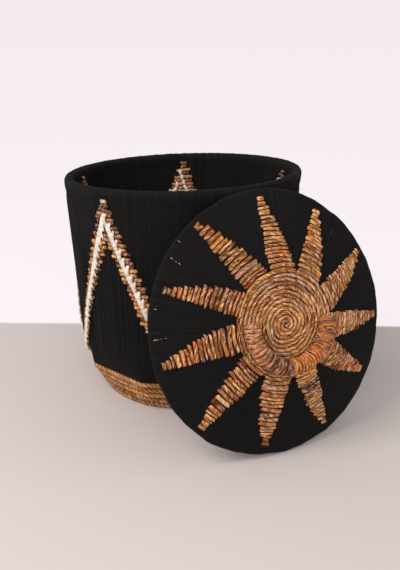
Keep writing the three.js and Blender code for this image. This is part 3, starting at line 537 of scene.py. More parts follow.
def yarn_columns(jitter):
    """Place of each column of points across the yarns, counted in yarns, and the height of
    its yarn's ridge there, from 0 between two yarns to 1 on top of one. The spaces between
    yarns are moved at random, so that some are wider."""
    borders = np.arange(WALL_YARNS) + random.normal(0, jitter, WALL_YARNS).clip(-0.3, 0.3)
    part = np.arange(YARN_COLUMNS) / YARN_COLUMNS
    after = np.append(borders[1:], borders[0] + WALL_YARNS)
    across = borders[:, None] * (1 - part) + after[:, None] * part
    ridge = np.sqrt(1 - (2 * part - 1) ** 2)
    return across.reshape(-1, 1), np.tile(ridge, WALL_YARNS)[:, None]


def each_yarn(spread):
    """One random number for each yarn, the same in all its columns."""
    return random.normal(0, spread, WALL_YARNS).repeat(YARN_COLUMNS)[:, None]


def yarn_skin(name, points, across, out, height, shade, body, replaced):
    """One closed skin of yarns as a piece. The place in the yarn that its finish reads is
    the place across, the length along the profile and a number of the yarn's own."""
    run = np.cumsum(np.hypot(np.diff(out, prepend=0), np.diff(height, prepend=0)), axis=1)
    place = xyz(across, run, np.floor(across) * 0.73)
    attributes = {"yarn": place, "shade": np.broadcast_to(shade, place.shape[:2])}
    faces = grid_faces(1, *place.shape[:2], True)
    filled(name, points, faces, attributes, BLACK_YARN, body, [replaced])


def slow_wave(angle, waves):
    """A sum of sines of the angle, each wave given as (count, size, phase)."""
    return sum(size * np.sin(count * angle + phase) for count, size, phase in waves)


def yarn_wall():
    """The yarn over the wall, rim and lining as one closed skin. Each point of the profile
    has an inset from the wall's outside, a height, an outward direction and a ridge size;
    the point is moved outwards by the ridge size times the yarn's ridge at its column. The
    skin sinks a little by a slow wave and draws in under the rim's roll and at the waist.
    Over the middle of the wall some yarns part, where it is deeper and darker by painted
    shade in the gap. Painted shade also darkens it under the rim's roll, and a painted
    highlight lightens the rim's top."""
    rim_middle = WALL_THICKNESS / 2
    lining = WALL_THICKNESS - 0.75
    outer = [52.0, 53.2, 55.5, 59.0, 64.0, 70.0, 76.0, 84.0, 92.0]
    outer += [*np.linspace(103, 300, 14), 308, 313, 317, 321, 325]
    profile = [(0.95, h, 1, 0, 0.95) for h in outer]
    for angle in np.linspace(0.15, math.pi - 0.15, 11):
        c, s = math.cos(angle), math.sin(angle)
        inset = rim_middle - (rim_middle - 0.35) * c
        profile.append((inset, ROLL_HEIGHT + ROLL_RISE * s, c, s, 0.4))
    inner = [325, 320, 315, 310, *np.linspace(298, 92, 9), 76, 68, 61.5]
    profile += [(lining, h, -1, 0, 0.7) for h in inner]
    profile.append((lining, LINING_BOTTOM, 0, -1, 0.0))
    profile += [(11.9, h, -1, 0, 0.0) for h in (LINING_BOTTOM, 92, 326.5)]
    profile += [(10.6, 334.4, 0, 0, 0.0), (2.9, 334.4, 0, 0, 0.0)]
    profile += [(1.45, h, 0, 0, 0.0) for h in (326.5, 92, LINING_BOTTOM, 52.3)]
    inset, height, out_r, out_z, size = (part.T for part in columns(profile))
    across, ridge = yarn_columns(0.09)
    azimuth = across * TURN / WALL_YARNS
    under_roll = np.exp(-(((height - 314) / 5.5) ** 2)) * (np.abs(out_r) == 1)
    waist = np.exp(-(height - WAIST_HEIGHT) / 1.6) * (out_r == 1)
    inset = inset + 1.1 * (out_r * under_roll + waist)
    sway = slow_wave(azimuth, ((5, 0.25, 1.0), (9, 0.2, 2.2), (23, 0.12, 0.4)))
    sway = sway + 0.25 * np.sin(height / 37 + 3 * azimuth)
    part = random.uniform(0, 1, WALL_YARNS)
    off = np.arange(WALL_YARNS) * 360 / WALL_YARNS - PARTED_AZIMUTH
    front = np.abs((off + 180) % 360 - 180) < PARTED_REACH
    gap = ((part < 0.04) | (front & (part < 0.34))) * random.uniform(0.5, 1.0, WALL_YARNS)
    gap = ((np.arange(YARN_COLUMNS) == 0) * gap[:, None]).reshape(-1, 1)
    window = smooth(height, 60, 120) * (1 - smooth(height, 180, 285)) * (out_r == 1)
    gap = (gap + 0.6 * (np.roll(gap, 1) + np.roll(gap, -1))) * window
    away = size * ridge - (size > 0) * 0.35 * np.abs(sway) - 0.65 * gap
    away = away + each_yarn(0.22).clip(-0.4, 0.4) * (out_z > 0.3)
    radius = wall_radius(height) - inset + out_r * away
    points = on_basket(azimuth, radius, height + out_z * away)
    # Painted shade in the parted gaps and under the roll, a painted highlight on the rim's top,
    # then random tone for each yarn
    shade = 0.9 - 0.9 * gap - 0.25 * under_roll + 0.25 * (out_z > 0.3)
    shade = (shade + each_yarn(0.25)).clip(0.1, 1.6)
    yarn_skin("yarn_wrap", points, across, inset, height, shade, "basket", "yarn_cover")


def wall_courses():
    """The level courses of rope that the yarn is wound over: rings one above the other."""
    steps, inset, top = 108, 4.5, 323.0
    heights = np.arange(LINING_BOTTOM + 3.2, top, COURSE_PITCH)[:, None]
    azimuth = TURN * np.arange(steps) / steps
    path = on_basket(azimuth, wall_radius(heights) - inset, heights)
    made = ropes(path, UPWARDS, 2.6, 2.8, sides=6, lay=14.0, groove=0.1, closed=True)
    dye = dyed(len(heights), (TAN, HONEY, BARK), (3, 2, 1))
    rope_piece("wall_rope_courses", made, dye, ABACA, "basket", "rope_wall", closed=True)


# ---- The zigzag of rope and its stitching


def leg_spans(number, height, left, right):
    """Where the rope rows lie at a height, across from the peak's middle line: a leg's outer
    edge runs out by 1 for each slope of drop, and its inner edge follows one leg's width
    behind; both legs stop at the middle of the space to the next peak, and are one row where
    their inner edges are near the middle. The trims grow smoothly with the drop."""
    drop = APEX_HEIGHT - height
    left_outer = APEX_HALF_WIDTH + drop / LEFT_SLOPE
    right_outer = APEX_HALF_WIDTH + drop / RIGHT_SLOPE
    left_inner, right_inner = left_outer - LEG_WIDTH, right_outer - LEG_WIDTH
    left_inner += LEG_TRIM * smooth(drop, TRIM_START, FIRST_TRIM_END) * (number == 1)
    right_outer -= LEG_TRIM * smooth(drop, TRIM_START, SECOND_TRIM_END) * (number == 2)
    first, last = -min(left_outer, left), min(right_outer, right)
    if min(left_inner, right_inner) <= 1.5:
        return [(first, last)]
    return [(a, b) for a, b in ((first, -left_inner), (right_inner, last)) if b - a > 3.0]


def wall_path(apex, across, height, away, side=1):
    """Points at a distance across from a peak's middle line, a height and a way off the wall:
    outwards from its outside, or where the side is -1, inwards from its inside."""
    wall = wall_radius(height)
    radius = wall + away if side > 0 else wall - WALL_THICKNESS - away
    return on_basket(math.radians(apex) + across / wall, radius, height)


def out_from(apex, across):
    """The direction straight out of the wall at a distance across from a peak's middle."""
    azimuth = math.radians(apex) + across / LOW_RADIUS
    return xyz(np.sin(azimuth), -np.cos(azimuth), 0.0)


def floats(name, node, number, apex, left, right, side):
    """One peak's rows of rope, laid on the wall across the yarn. A row's rope lies at the
    lift above the wall and dips into it at both ends, by the twentieth power of its place
    from -1 to 1. The top row is shorter, pale outside and dark inside, and the next is
    dark. Outside, the rows of the second peak's right leg lie lower."""
    spans = []
    for row in range(int((APEX_HEIGHT - LEG_FOOT) / COURSE_PITCH)):
        height = APEX_HEIGHT - COURSE_PITCH * (row + 0.5)
        pair = APEX_HEIGHT - COURSE_PITCH * (2 * (row // 2) + 0.8)
        shorter = 1.6 * (row == 0)
        for start, end in leg_spans(number, pair, left, right):
            start += random.normal(0, 1.0) + shorter
            end += random.normal(0, 1.0) - shorter
            spans.append((start, end, height, row, number == 2 and side > 0 and start > 0))
    start, end, height, row, lower = columns(spans)
    place = end_places(15)
    across = (start + end) / 2 + place * (end - start) / 2
    level = height + 0.4 * np.sin(across / 6 + height) + random.normal(0, 0.3, height.shape)
    level = level + random.normal(-0.3, 0.7, height.shape) * place
    dip = np.abs(place) ** 20
    lift = random.normal(0.0, 0.25, height.shape) + 1.1 - 2.0 * dip - 2.4 * lower
    path = wall_path(apex, across, level, lift, side)
    out = unit(wall_path(apex, across, level, lift + 10, side) - path)
    thick = random.normal(1, 0.08, height.shape) * (1 - 0.12 * dip)
    cut = random.normal(-0.5, 0.35, height.shape)
    made = ropes(
        path, out, 3.0 * thick, 2.3 * thick, sides=12, lay=-10.5, groove=0.18, cut=cut,
        full=0.85,
    )
    palette = (GOLDEN, TAN, HONEY, RUSSET, BARK, ASH)
    dye = dyed(len(spans), palette, (3, 2.6, 2, 3.4, 3.2, 0.8), 0.2)
    dye = np.where(row < 1, CREAM if side > 0 else BARK, np.where(row < 2, BARK, dye))
    rope_piece(name, made, dye, ABACA, "basket", node)


def strands(path, up, wide, high):
    """Tapered lengths of yarn: a section's half width and height are multiplied by the
    square root of 1 less 0.93 times the sixth power of its place along, from -1 to 1."""
    swell = np.sqrt(1 - 0.93 * np.abs(np.linspace(-1, 1, path.shape[1])) ** 6)
    return ropes(path, up, wide * swell, high * swell, sides=8, lay=7.0, groove=0.12, plies=3)


def yarn_piece(name, made, *replaced):
    """Loose yarn as one piece, with the place in the yarn that its finish reads."""
    points, place, _ = made
    count, steps, sides = points.shape[:3]
    around = np.arctan2(place[..., 1], place[..., 0]) / TURN
    place = xyz(around, place[..., 2], place[..., 2] * 0.01)
    shade = np.broadcast_to(random.uniform(0.88, 1.04, (count, 1, 1)), around.shape)
    faces = grid_faces(count, steps, sides, False)
    filled(name, points, faces, {"yarn": place, "shade": shade}, WHITE_YARN, "basket", replaced)


def stitches(number, apex, left, right):
    """The white stitching of one peak: on each leg, thick strokes that overlap as they step
    down it and end above its foot. A stroke runs down the leg's line, where the drop from
    the top is the slope times the way across, and one end bends away to the right as a
    barb: the upper end on the right leg and the lower end on the left one. On the second
    peak's right leg they follow its trim and lie lower, as its rows do."""
    strokes = []
    legs = ((-1, left, LEFT_SLOPE, 10.0, -1.0, 3.0), (1, right, RIGHT_SLOPE, 11.8, 9.0, -0.4))
    for side, reach, slope, pitch, first, begin in legs:
        above_foot = 30 if number == 1 and side < 0 else 18
        furthest = min(reach - 9, (STITCH_TOP - LEG_FOOT - above_foot) / slope)
        drops = np.arange(first, furthest * slope, pitch)
        strokes += [(side, slope, drop, begin) for drop in drops]
    side, slope, drop, begin = columns(strokes)
    drop = drop + random.normal(0, 0.7, drop.shape)
    place = np.linspace(0, 1, 17)
    sway = random.normal(0, 0.35, side.shape)
    lower = (number == 2) * (side > 0)
    made = []
    for offset, width, length, barb in ((-0.8, 4.1, 20.0, 0.0), (0.4, 3.3, 15.0, 1.0)):
        down = drop + length * place
        towards = np.where(side > 0, (1 - place) ** 1.7, place**2.4)
        reach = barb * random.uniform(5.8, 8.0, side.shape)
        across = side * down / slope + begin + offset + sway + reach * towards
        trim = LEG_TRIM / 2 * smooth(down, 0.0, SECOND_TRIM_END - TRIM_START)
        across = across - lower * trim
        away = 4.4 + 0.8 * barb - 1.3 * np.abs(2 * place - 1) ** 3 - 3.8 * lower
        away = away + random.normal(0, 0.3, side.shape)
        thin = (width - 0.7 * (side > 0)) * (1 - (0.6 - 0.6 * (side > 0)) * towards * barb)
        path = wall_path(apex, across, STITCH_TOP - down, away)
        made.append(strands(path, out_from(apex, across), thin, 1.5))
    made = tuple(np.concatenate(parts) for parts in zip(*made))
    yarn_piece(f"peak_stitching_{number}", made, f"stitch_{number}")


def zigzag():
    """The five peaks outside and inside, and the stitching on the outside and the inside. A
    peak's legs reach to the middle of the space to the next peak at the legs' feet."""
    foot = float(wall_radius(LEG_FOOT + 1))
    around = (APEX_AZIMUTHS[-1] + 360, *APEX_AZIMUTHS, APEX_AZIMUTHS[0] - 360)
    for number in range(1, len(APEX_AZIMUTHS) + 1):
        before, apex, after = around[number - 1 : number + 2]
        left, right = (
            math.radians(space / 2) * foot - 0.3 for space in (apex - after, before - apex)
        )
        peak = (number, apex, left, right)
        floats(f"rope_peak_{number}", f"outer_peak_{number}", *peak, 1)
        floats(f"lining_peak_{number}", f"inner_peak_{number}", *peak, -1)
        stitches(*peak)
        inner_stitches(*peak)


def inner_stitches(number, apex, left, right):
    """The stitching as it shows inside: short thick bars down each leg, a little to one
    side of the peak's middle line, the right leg's beginning lower; further down every
    second bar slants."""
    bars = []
    legs = ((-1, left, LEFT_SLOPE, -3.0), (1, right, RIGHT_SLOPE, 18.0))
    for side, reach, slope, first in legs:
        furthest = min(reach - 12, (STITCH_TOP - LEG_FOOT - 10) / slope)
        for i, drop in enumerate(np.arange(first, furthest * slope, 8.8)):
            bars.append((side, slope, drop, i % 2 and drop > 16))
    side, slope, drop, slanted = columns(bars)
    place = np.linspace(-1, 1, 11)
    across = 5.0 + side * drop / slope + place * (0.6 + 2.6 * slanted) * side
    height = STITCH_TOP - drop - place * (4.3 - 0.6 * slanted)
    path = wall_path(apex, across, height, 4.4 - 1.9 * np.abs(place) ** 4, -1)
    made = strands(path, -out_from(apex, across), 2.7, 1.6)
    yarn_piece(f"lining_stitching_{number}", made)


# ---- The foot and the bottom


def foot_rope():
    """The foot's rope: level courses, one on the other, that step up to the next at the back.
    At a course's share of the height the radius runs from the floor's to the waist's. Under
    the first step and over the last the rope's ends taper to nothing."""
    steps, step_up = 300, 24
    total = FOOT_COURSES * steps
    at = np.arange(-step_up, total)
    course = np.clip(at // steps, 0, FOOT_COURSES - 1)
    part = at - course * steps
    climb = smooth(part, steps - step_up, steps)
    level = np.minimum(course + climb, FOOT_COURSES - 1) / (FOOT_COURSES - 1)
    first = smooth(at, -step_up, 0)
    last = 1 - smooth(at, total - step_up, total)
    thick = np.maximum(0.06, first * last)
    half = FOOT_ROPE / 2
    low, top = half + 0.3, WAIST_HEIGHT - half - 0.3
    low_radius, top_radius = FLOOR_RADIUS - half, WAIST_RADIUS - 1.5 - half
    azimuth = math.radians(FOOT_SEAM) + TURN * part / steps
    waves = ((1, 0.5, 0.0), (2.3, 0.4, 1.1), (5.1, 0.35, 0.3), (8.3, 0.3, 2.0))
    sway = slow_wave(azimuth * 7 + 2.6 * course, waves)
    radius = low_radius + (top_radius - low_radius) * level + 0.6 * sway
    radius = radius + 2.4 * (1 - level**2)
    height = low + (top - low) * level + 0.3 * sway + half * (first - last)
    path = on_basket(azimuth, radius, height)[None]
    made = ropes(
        path, UPWARDS, 5.1 * thick, 5.3 * thick, sides=20, lay=21.0, groove=0.3, plies=3,
        shown=unit(path * (1, 1, 0)),
    )
    dye = dyed_along(path, 19, (GOLDEN, TAN, HONEY, ASH, RUSSET), (4, 4, 1.6, 1.6, 1.2))
    rope_piece("foot_rope_coil", made, dye * 0.84, FOOT, "basket", "foot_coil")


def bottom_rope():
    """The flat bottom: one rope in a spiral, its middle growing outwards by one pitch in each
    turn. It covers half a width on each side of that, but no more than the foot's rope leaves
    free, so that its last turn narrows to nothing."""
    pitch, turns, edge, half = 7.6, 15.05, 115.0, 4.0
    angle = np.arange(-0.3 * TURN, turns * TURN, TURN / 72)
    inner = 3.5 - half + pitch * angle / TURN
    outer = np.minimum(inner + 2 * half, edge)
    radius = (inner + outer) / 2
    path = xyz(radius * np.cos(angle), radius * np.sin(angle), 2.6)[None]
    made = ropes(path, UPWARDS, (outer - inner) / 2, 2.45, sides=10, lay=18.0, groove=0.16)
    dye = dyed_along(path, 60, (GOLDEN, TAN, ASH), (3, 4, 2))
    rope_piece("bottom_coil", made, dye, FOOT, "basket", "base_disc")


# ---- The lid


# The lid's own directions: to the right across it, out of its face, and up along its face
ACROSS = np.array((math.cos(LID_TURN), math.sin(LID_TURN), 0.0))
FACE = math.cos(LID_LEAN) * np.cross(ACROSS, UPWARDS) + math.sin(LID_LEAN) * UPWARDS
UP_LID = np.cross(FACE, ACROSS)


def from_lid(points):
    """Points of the lid's own frame (right, up its face, out of its face) where it leans."""
    return LID_CENTRE + points @ np.stack((ACROSS, UP_LID, FACE))


def lid_top(radius):
    """Height of the lid's face: a low crown as far as the shoulder, then a cone to the edge."""
    crown = LID_DOME - LID_CROWN * (radius / LID_SHOULDER) ** 2
    cone = LID_DOME - LID_CROWN - LID_FALL * (radius - LID_SHOULDER)
    return np.where(radius <= LID_SHOULDER, crown, cone)


def on_lid(angle, radius, height):
    """The point of the lid at an angle, radius and height in its own frame."""
    return from_lid(xyz(radius * np.cos(angle), radius * np.sin(angle), height))


def lid_skin():
    """The lid's yarn as one closed skin: over the cone, round the edge, across the underside
    and back inside it. Each point of the profile has a radius, a height, an outward
    direction and a ridge size, and is moved outwards by the ridge at its column. The edge
    sways in and out by a sum of sines of the angle."""
    out = unit(np.array((LID_FALL, 1)))
    down = unit(np.array((1, -LID_FALL)))

    def layer(radii, depth, facing, size):
        """Profile points along the face at a depth below it."""
        heights = lid_top(np.asarray(radii)) - depth
        return [(r, h, *(facing * out), size) for r, h in zip(radii, heights)]

    profile = layer([72.0], 1.3, 1, 0.0) + layer([72.0], 0.6, 1, 0.3)
    profile += layer(np.linspace(78, 170.5, 13), 0.55, 1, 0.55)
    middle = np.array((172.6, float(lid_top(172.6)) - LID_THICKNESS / 2))
    for angle in np.linspace(1.25, -1.25, 9):
        high, far = math.sin(angle), math.cos(angle)
        facing = unit(out * high * 1.3 + down * far)
        profile.append((*(middle + out * 3.9 * high + down * 5.5 * far), *facing, 0.45))
    under = [*np.linspace(170.5, 72, 9), 60, 45, 30, 16, 6]
    profile += layer(under, LID_THICKNESS - 0.45, -1, 0.4)
    profile += layer([0.4], LID_THICKNESS - 0.3, -1, 0.0)
    profile += layer([0.4, 71, 171], LID_THICKNESS - 1.3, 1, 0.0)
    profile.append((177.0, -0.7, 0, 0, 0.0))
    profile += layer([171], 1.3, 1, 0.0)
    radius, height, out_r, out_z, size = (part.T for part in columns(profile))
    across, ridge = yarn_columns(0.08)
    angle = across * TURN / WALL_YARNS
    waves = ((5, 0.3, 1.0), (11, 0.3, 0.3), (17, 0.25, 2.0), (29, 0.25, 4.0), (53, 0.15, 1.7))
    sway = slow_wave(angle, waves) * smooth(radius, 150, 176) - 0.3
    away = size * ridge * np.minimum(1, radius / 60)
    away = away + (size > 0) * 0.12 * np.sin(19 * (angle + radius / 60))
    radius = radius + out_r * away + sway * (radius > 150)
    points = on_lid(angle, radius, height + out_z * away)
    shade = (0.95 + each_yarn(0.2)).clip(0.3, 1.7)
    yarn_skin("lid_yarn_wrap", points, across, radius, height, shade, "lid", "lid_yarn_cover")


def lid_core():
    """The lid's stiffening rope under the yarn: one spiral, thin under the medallion."""
    pitch, turns = 5.4, 30.2
    angle = np.arange(0, turns * TURN, TURN / 60)
    radius = 3.0 + pitch * angle / TURN
    under = radius < LID_SHOULDER - 1
    path = on_lid(angle, radius, lid_top(radius) - np.where(under, 6.2, 4.3))[None]
    made = ropes(path, FACE, 2.6, np.where(under, 0.75, 2.6), sides=6, lay=14.0, groove=0.08)
    dye = dyed_along(path, 80, (TAN, HONEY), (1, 1))
    rope_piece("lid_rope_coil", made, dye, ABACA, "lid", "lid_rope_disc")


def medallion():
    """The spiral of rope in the middle: its radius grows by one pitch in each turn, out of
    round by a sum of sines of the angle. Its rope lies more than half in the lid's face, a
    little higher in the outermost turn, and begins thinner and grey."""
    angle = np.arange(-0.38 * TURN, SPIRAL_TURNS * TURN, TURN / 120)
    radius = SPIRAL_START + SPIRAL_PITCH * angle / TURN
    wobble = 0.25 * np.sin(angle * 3.7) + 0.2 * np.sin(angle * 8.3 + 1)
    oval = slow_wave(angle, ((2, 0.9, 0.6), (3, 0.7, 2.0), (5, 0.4, 0.8)))
    oval = oval * smooth(radius, 4, 24) * (1 - smooth(radius, 48, 66))
    height = lid_top(radius) - 1.8 + 0.5 * wobble + 0.8 * smooth(radius, 62, 69)
    path = on_lid(angle, radius + wobble + oval, height)[None]
    thick = 2.7 * np.minimum(1, 0.6 + np.arange(len(angle)) / 110)
    thick = thick * (1 + 0.07 * np.sin(angle * 1.37) + 0.05 * np.sin(angle * 5.9 + 2))
    made = ropes(path, FACE, thick, thick, sides=14, lay=36.0, groove=0.1, full=0.9)
    dye = dyed_along(path, 22, (GOLDEN, TAN, HONEY, ASH, RUSSET), (5, 4, 3, 2.2, 1.8)) * 0.9
    dye[:26] = SPIRAL_GREY
    rope_piece("medallion_rope", made, dye, ABACA, "lid", "spiral_medallion", clear=0.2)


def ray(number, tip, end, width, base_shift, tip_shift):
    """One ray of the star: flat strips of rope that follow the lid's round, from the
    medallion's edge at the ray's angle outwards, narrower towards the tip, of uneven width,
    each dipping into the lid at its slanted ends. The half length at a share s of the ray is
    2 plus 15.6 times 1 less s to the 1.8, and the middle line leans from the swirl angle at
    the base to none at the tip, moved across by the shifts."""
    rows = np.arange(RAY_ROWS)[:, None]
    turns = SPIRAL_TURNS - (SPIRAL_TURNS - tip / 360) % 1
    start = SPIRAL_START + SPIRAL_PITCH * turns + 2.5
    wide = random.normal(1, 0.2, rows.shape).clip(0.66, 1.45)
    wide = wide * (end - start) / wide.sum()
    at = start + np.cumsum(wide, axis=0) - wide / 2
    share = (2 * (rows // 2) + 1) / RAY_ROWS
    half = width * (2.0 + 15.6 * (1 - share**1.8))
    shift = base_shift + (tip_shift - base_shift) * share**3
    centre = math.radians(tip) - math.radians(RAY_SWIRL) * (1 - share)
    first = shift - half + random.normal(0, 0.8, rows.shape)
    last = shift + half + random.normal(0, 0.8, rows.shape)
    place = end_places(17)
    across = (first + last) / 2 + place * (last - first) / 2
    radius = at + place * random.normal(0.2, 0.5, rows.shape) + 0.15 * np.sin(across / 5 + at)
    dip = np.abs(place) ** 24
    lift = 0.9 + random.normal(0, 0.3, rows.shape) - 1.9 * dip
    path = on_lid(centre + across / radius, radius, lid_top(radius) + lift)
    thick = wide * 0.485 * (1 - 0.04 * dip)
    high = random.normal(2.1, 0.25, rows.shape) * (1 - 0.06 * dip)
    cut = random.normal(0.7, 0.4, rows.shape)
    made = ropes(path, FACE, thick, high, sides=16, lay=70.0, groove=0.06, cut=cut, full=0.68)
    palette = (GOLDEN, TAN, HONEY, RUSSET, BARK, ASH)
    dye = dyed(RAY_ROWS, palette, (5, 5.4, 3.0, 2.6, 0.9, 1.0), 0.17) * 0.92
    ray_name, node = f"ray_ropes_{number}", f"star_ray_{number}"
    rope_piece(ray_name, made, dye, ABACA, "lid", node, clear=0.42)


def pale_fibres():
    """Pale fibres that show where the lid's yarns part, near its edge: thin dashes that lie
    out along a radius. Each has an angle, a radius and half a length."""
    places = (
        (134.6, 174.0, 2.0), (142.3, 171.0, 1.6), (142.7, 164.5, 1.4), (142.8, 159.5, 1.6),
        (164.7, 171.5, 1.6), (177.5, 170.5, 2.8), (177.3, 164.2, 1.5), (177.2, 158.2, 1.2),
        (26.3, 171.8, 0.9), (46.0, 150.0, 1.2),
    )
    angle, radius, half = columns(places)
    place = np.linspace(-1, 1, 7)
    at = radius + place * half
    path = on_lid(np.radians(angle) + 0.002 * place**2, at, lid_top(at) + 0.25 - 0.2 * place**4)
    made = ropes(path, FACE, 0.32, 0.3, sides=6, lay=4.0, groove=0.1)
    dye = dyed(len(places), (CREAM, ASH), (2, 1))
    rope_piece("parted_yarn_fibres", made, dye, ABACA, "lid")


# ---- The handle


# The handle's arc in its own frame: its radius, how far its middle lies beyond the hinge
# line, the angle at which it begins, and its length
HANDLE_RADIUS = ((HANDLE_SPAN / 2) ** 2 + HANDLE_DROP**2) / (2 * HANDLE_DROP)
HANDLE_RISE = HANDLE_RADIUS - HANDLE_DROP
HANDLE_START = math.asin(HANDLE_RISE / HANDLE_RADIUS)
HANDLE_ARC = HANDLE_RADIUS * (math.pi - 2 * HANDLE_START)


def from_handle(points):
    """Points of the handle's own frame, where the hinge line is the first axis, on the lid:
    turned a little in the lid's plane and set on the hinge line."""
    c, s = math.cos(HANDLE_TURN), math.sin(HANDLE_TURN)
    turned = points @ np.array(((c, s, 0), (-s, c, 0), (0, 0, 1)))
    return from_lid(turned + (HANDLE_SIDE, HANDLE_OFFSET, HINGE_HEIGHT))


def on_handle(share, angle, away):
    """The point at a share of the handle's arc, an angle round its tube, measured from
    straight outwards towards the lid's face, and a distance from the tube's middle."""
    turn = HANDLE_START + (math.pi - 2 * HANDLE_START) * share
    far = HANDLE_RADIUS + away * np.cos(angle)
    x, y = -far * np.cos(turn), HANDLE_RISE - far * np.sin(turn)
    return from_handle(xyz(x, y, away * np.sin(angle)))


def twine_rings(rings):
    """Flat rings of twine round the handle and over its round ends. A ring's place is a
    length from the handle's middle, or at an end the angle of its tip, from 0 where the dome
    begins to a quarter turn at its pole. A section's point lies half its width times cos b
    along the surface and half its thickness times sin b, less that half, out of it; a slant
    moves the ring along as it goes round. Gives the same as ropes does."""
    places, tips, widths, thicks, slants, rise = (part[:, None] for part in columns(rings))
    one_each = places.shape
    slants = slants + random.normal(0, 0.08, one_each)
    around = (TURN * np.arange(40) / 40)[:, None]
    section = TURN * np.arange(12) / 12
    phase = random.uniform(0, TURN, one_each)
    width = widths * 0.53 * (1 + 0.12 * np.sin(2 * around + phase))
    along = slants * widths * np.sin(around) + width * np.cos(section)
    along = along + 0.08 * widths * np.sin(3 * around + 2 * phase)
    out = rise - thicks / 2 * (1 - np.sin(section)) + 0.25 * np.sin(3 * around + phase)
    out = out + random.normal(0, 0.25, one_each) + 0.25 * np.cos(2 * section + phase)
    far = places + along * np.cos(tips) + (HANDLE_DOME + out) * np.sin(tips)
    away = (HANDLE_TUBE + out) * np.cos(tips) - along * np.sin(tips) - 0.2 * (tips != 0)
    points = on_handle(0.5 + far / HANDLE_ARC, around, away)
    run = around * HANDLE_TUBE + random.uniform(0, 900, one_each)
    lay = xyz(3.4 * np.cos(section), 1.6 * np.sin(section), run)
    return points, lay, np.broadcast_to(np.sin(section), far.shape)


def handle_bands():
    """The twine wound round the handle, one ring to each turn: wide and rosy from the left,
    then dark, tan, bright orange, and fine to the right with a few turns that cross it. The
    wide rings go on over the left end and the fine ones over the right end. Each run has a
    count of rings, their pitch and thickness, a palette and a slant."""
    runs = (
        (8, 6.0, 4.4, (ROSY_TAN * 0.93, TAN * 0.93, ASH * 0.9), -0.14),
        (6, 5.0, 3.6, (MAUVE * 1.2, BARK * 1.2, ROSY_TAN), -0.1),
        (2, 3.6, 2.8, (TAN, GOLDEN, RUSSET), 0.1),
        (9, 4.6, 3.2, (ORANGE, HONEY, GOLDEN), 0.2),
        (13, 3.1, 2.6, (HONEY, TAN, RUSSET), 0.3),
    )
    total = sum(run[0] * run[1] for run in runs)
    rings = []
    dyes = []
    reached = -total / 2
    for count, pitch, thick, palette, slant in runs:
        for _ in range(count):
            place = (reached + pitch / 2) * HANDLE_ARC / total
            rings.append((place, 0.0, pitch, thick, slant, 0.8 * (place < -6)))
            reached += pitch
        dyes.append(dyed(count, palette, (3, 1, 0.5), 0.12))
    ends = (
        (-1, (0.26, 0.66, 1.02, 1.36), 5.6, 3.4, (ROSY_TAN, TAN), 0.1),
        (1, (0.12, 0.36, 0.6, 0.84, 1.1, 1.38), 3.2, 2.4, (TAN, RUSSET), 0.14),
    )
    for side, tips, pitch, thick, palette, spread in ends:
        for tip in tips:
            rise = 0.8 * math.cos(tip) * (side < 0)
            rings.append((side * HANDLE_ARC / 2, side * tip, pitch, thick, 0.06 * side, rise))
        dyes.append(dyed(len(tips), palette, (2, 1), spread))
    for i in range(9):
        slant = (-1) ** i * random.uniform(1.2, 2.4)
        rings.append((HANDLE_ARC * (0.31 + 0.024 * i), 0.0, 2.8, 2.2, slant, 0.7))
    dyes.append(dyed(9, (TAN, RUSSET, BARK), (2, 2, 1), 0.2))
    made, dye = twine_rings(rings), np.concatenate(dyes)
    name, node = "handle_twine_bands", "handle_wrap"
    rope_piece(name, made, dye, TWINE, "handle", node, closed=True, clear=0.3)


def handle_middle():
    """The rope inside the handle's twine, an arc."""
    path = on_handle(np.linspace(0, 1, 49), 0.0, 0.0)[None]
    made = ropes(path, FACE, 8.4, 8.4, sides=16, lay=40.0, groove=0.06, plies=3)
    dye = dyed(1, (BARK, RUSSET), (1, 1))
    rope_piece("handle_rope", made, dye, TWINE, "handle", "handle_core")


def lashings():
    """The two twine loops that tie the handle down: up from the lid on one side of the
    handle's end, through it on the hinge line, and down on the other side."""
    reach, depth = 10.0, 10.5
    place = np.linspace(-1, 1, 31)
    drop = smooth(np.abs(place), 0.55, 1.0) * depth
    for side, node in ((-1, "left_lashing"), (1, "right_lashing")):
        across = side * HANDLE_SPAN / 2 + reach * np.tanh(2.2 * place) / math.tanh(2.2)
        path = from_handle(xyz(across, [[-1.2], [1.2]], -drop))
        made = ropes(path, UP_LID, 1.15, 1.15, sides=8, lay=6.0, groove=0.15)
        dye = dyed(2, (TAN, RUSSET), (1, 1))
        rope_piece(f"{node}_twine", made, dye, LASHING, "lid", node)


# ---- Everything in its place


def camera():
    """The camera of the photograph: where it stands, how far it looks down and its roll."""
    back = Vector((0, -math.cos(CAMERA_PITCH), -math.sin(CAMERA_PITCH)))
    level = Vector((1, 0, 0))
    rise = back.cross(level)
    c, s = math.cos(CAMERA_ROLL), math.sin(CAMERA_ROLL)
    data = bpy.data.cameras.new("photo_view")
    data.sensor_fit = "VERTICAL"
    data.sensor_height = 36.0
    data.lens = CAMERA_LENS
    seen = in_scene("photo_view", data)
    axes = Matrix((c * level + s * rise, c * rise - s * level, back)).transposed().to_4x4()
    seen.matrix_world = Matrix.Translation(CAMERA_PLACE) @ axes
    bpy.context.scene.camera = seen


def lamp(name, place, size, power, tint):
    """A square soft lamp that stands at a place and faces the basket."""
    data = bpy.data.lights.new(name, "AREA")
    data.shape = "SQUARE"
    data.size = size
    data.energy = power
    data.color = tint
    item = in_scene(name, data)
    item.location = place
    item.rotation_euler = (Vector(LAMP_AIM) - Vector(place)).to_track_quat("-Z", "Y").to_euler()


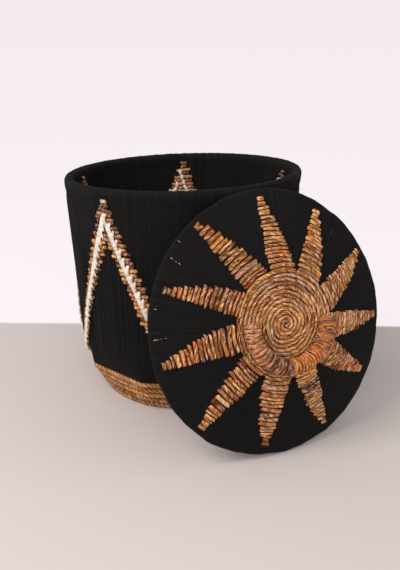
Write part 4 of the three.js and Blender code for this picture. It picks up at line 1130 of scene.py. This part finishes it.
def floor():
    """A plain pale floor, paler past the line where the photograph's wall begins, where the
    camera sees it partly as light of its own."""
    half = 8.0
    mesh = bpy.data.meshes.new("floor")
    corners = [(-half, -half, 0), (half, -half, 0), (half, half, 0), (-half, half, 0)]
    mesh.from_pydata(corners, [], [(0, 1, 2, 3)])
    item = in_scene("floor", mesh)
    nodes = Nodes(bpy.data.materials.new("studio_floor"))
    back = nodes.part(nodes.add("ShaderNodeTexCoord", output="Object"), 1)
    beyond = nodes.ranged(back, WALL_LINE, WALL_LINE + 0.01, 0.0, 1.0)
    base = nodes.mixed(beyond, FLOOR_COLOUR, WALL_COLOUR)
    mesh.materials.append(nodes.finish(base, 0.9, {"Specular IOR Level": 0.1}))
    seen = nodes.add("ShaderNodeLightPath", output="Is Camera Ray")
    share = nodes.product(nodes.product(beyond, seen), 0.8)
    light = nodes.add("ShaderNodeEmission", {"Color": WALL_COLOUR, "Strength": 1.12})
    mix = nodes.add("ShaderNodeMixShader", {0: share, 1: nodes.shader.outputs[0], 2: light})
    nodes.feed(nodes.tree.nodes["Material Output"], {"Surface": mix})


def studio():
    """Soft light: a wide lamp from the upper left, a weaker one from the front, and the
    world's own even light, whose backdrop is seen as the pale wall."""
    world = bpy.data.worlds.new("studio")
    bpy.context.scene.world = world
    nodes = Nodes(world)
    nodes.tree.nodes.clear()
    even = {"Color": (1.0, 0.985, 0.98, 1.0), "Strength": 0.55}
    light = nodes.add("ShaderNodeBackground", even)
    seen = nodes.add("ShaderNodeBackground", {"Color": WALL_COLOUR, "Strength": 1.0})
    camera_ray = nodes.add("ShaderNodeLightPath", output="Is Camera Ray")
    mix = nodes.add("ShaderNodeMixShader", {0: camera_ray, 1: light, 2: seen})
    nodes.add("ShaderNodeOutputWorld", {"Surface": mix})
    lamp("key_lamp", (-1.1, -1.0, 1.7), 1.0, 26.0, (1.0, 0.97, 0.94))
    lamp("front_lamp", (0.1, -1.9, 1.1), 1.4, 12.0, (1.0, 0.98, 0.96))


bpy.context.scene.view_settings.view_transform = "Standard"
camera()
floor()
studio()
yarn_wall()
wall_courses()
zigzag()
foot_rope()
bottom_rope()
lid_skin()
lid_core()
medallion()
for index, sizes in enumerate(RAYS):
    ray(index + 1, *sizes)
pale_fibres()
handle_bands()
handle_middle()
lashings()
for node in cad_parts.values():
    if not node.hide_render:
        node.data.materials.clear()
        node.data.materials.append(STEEL)
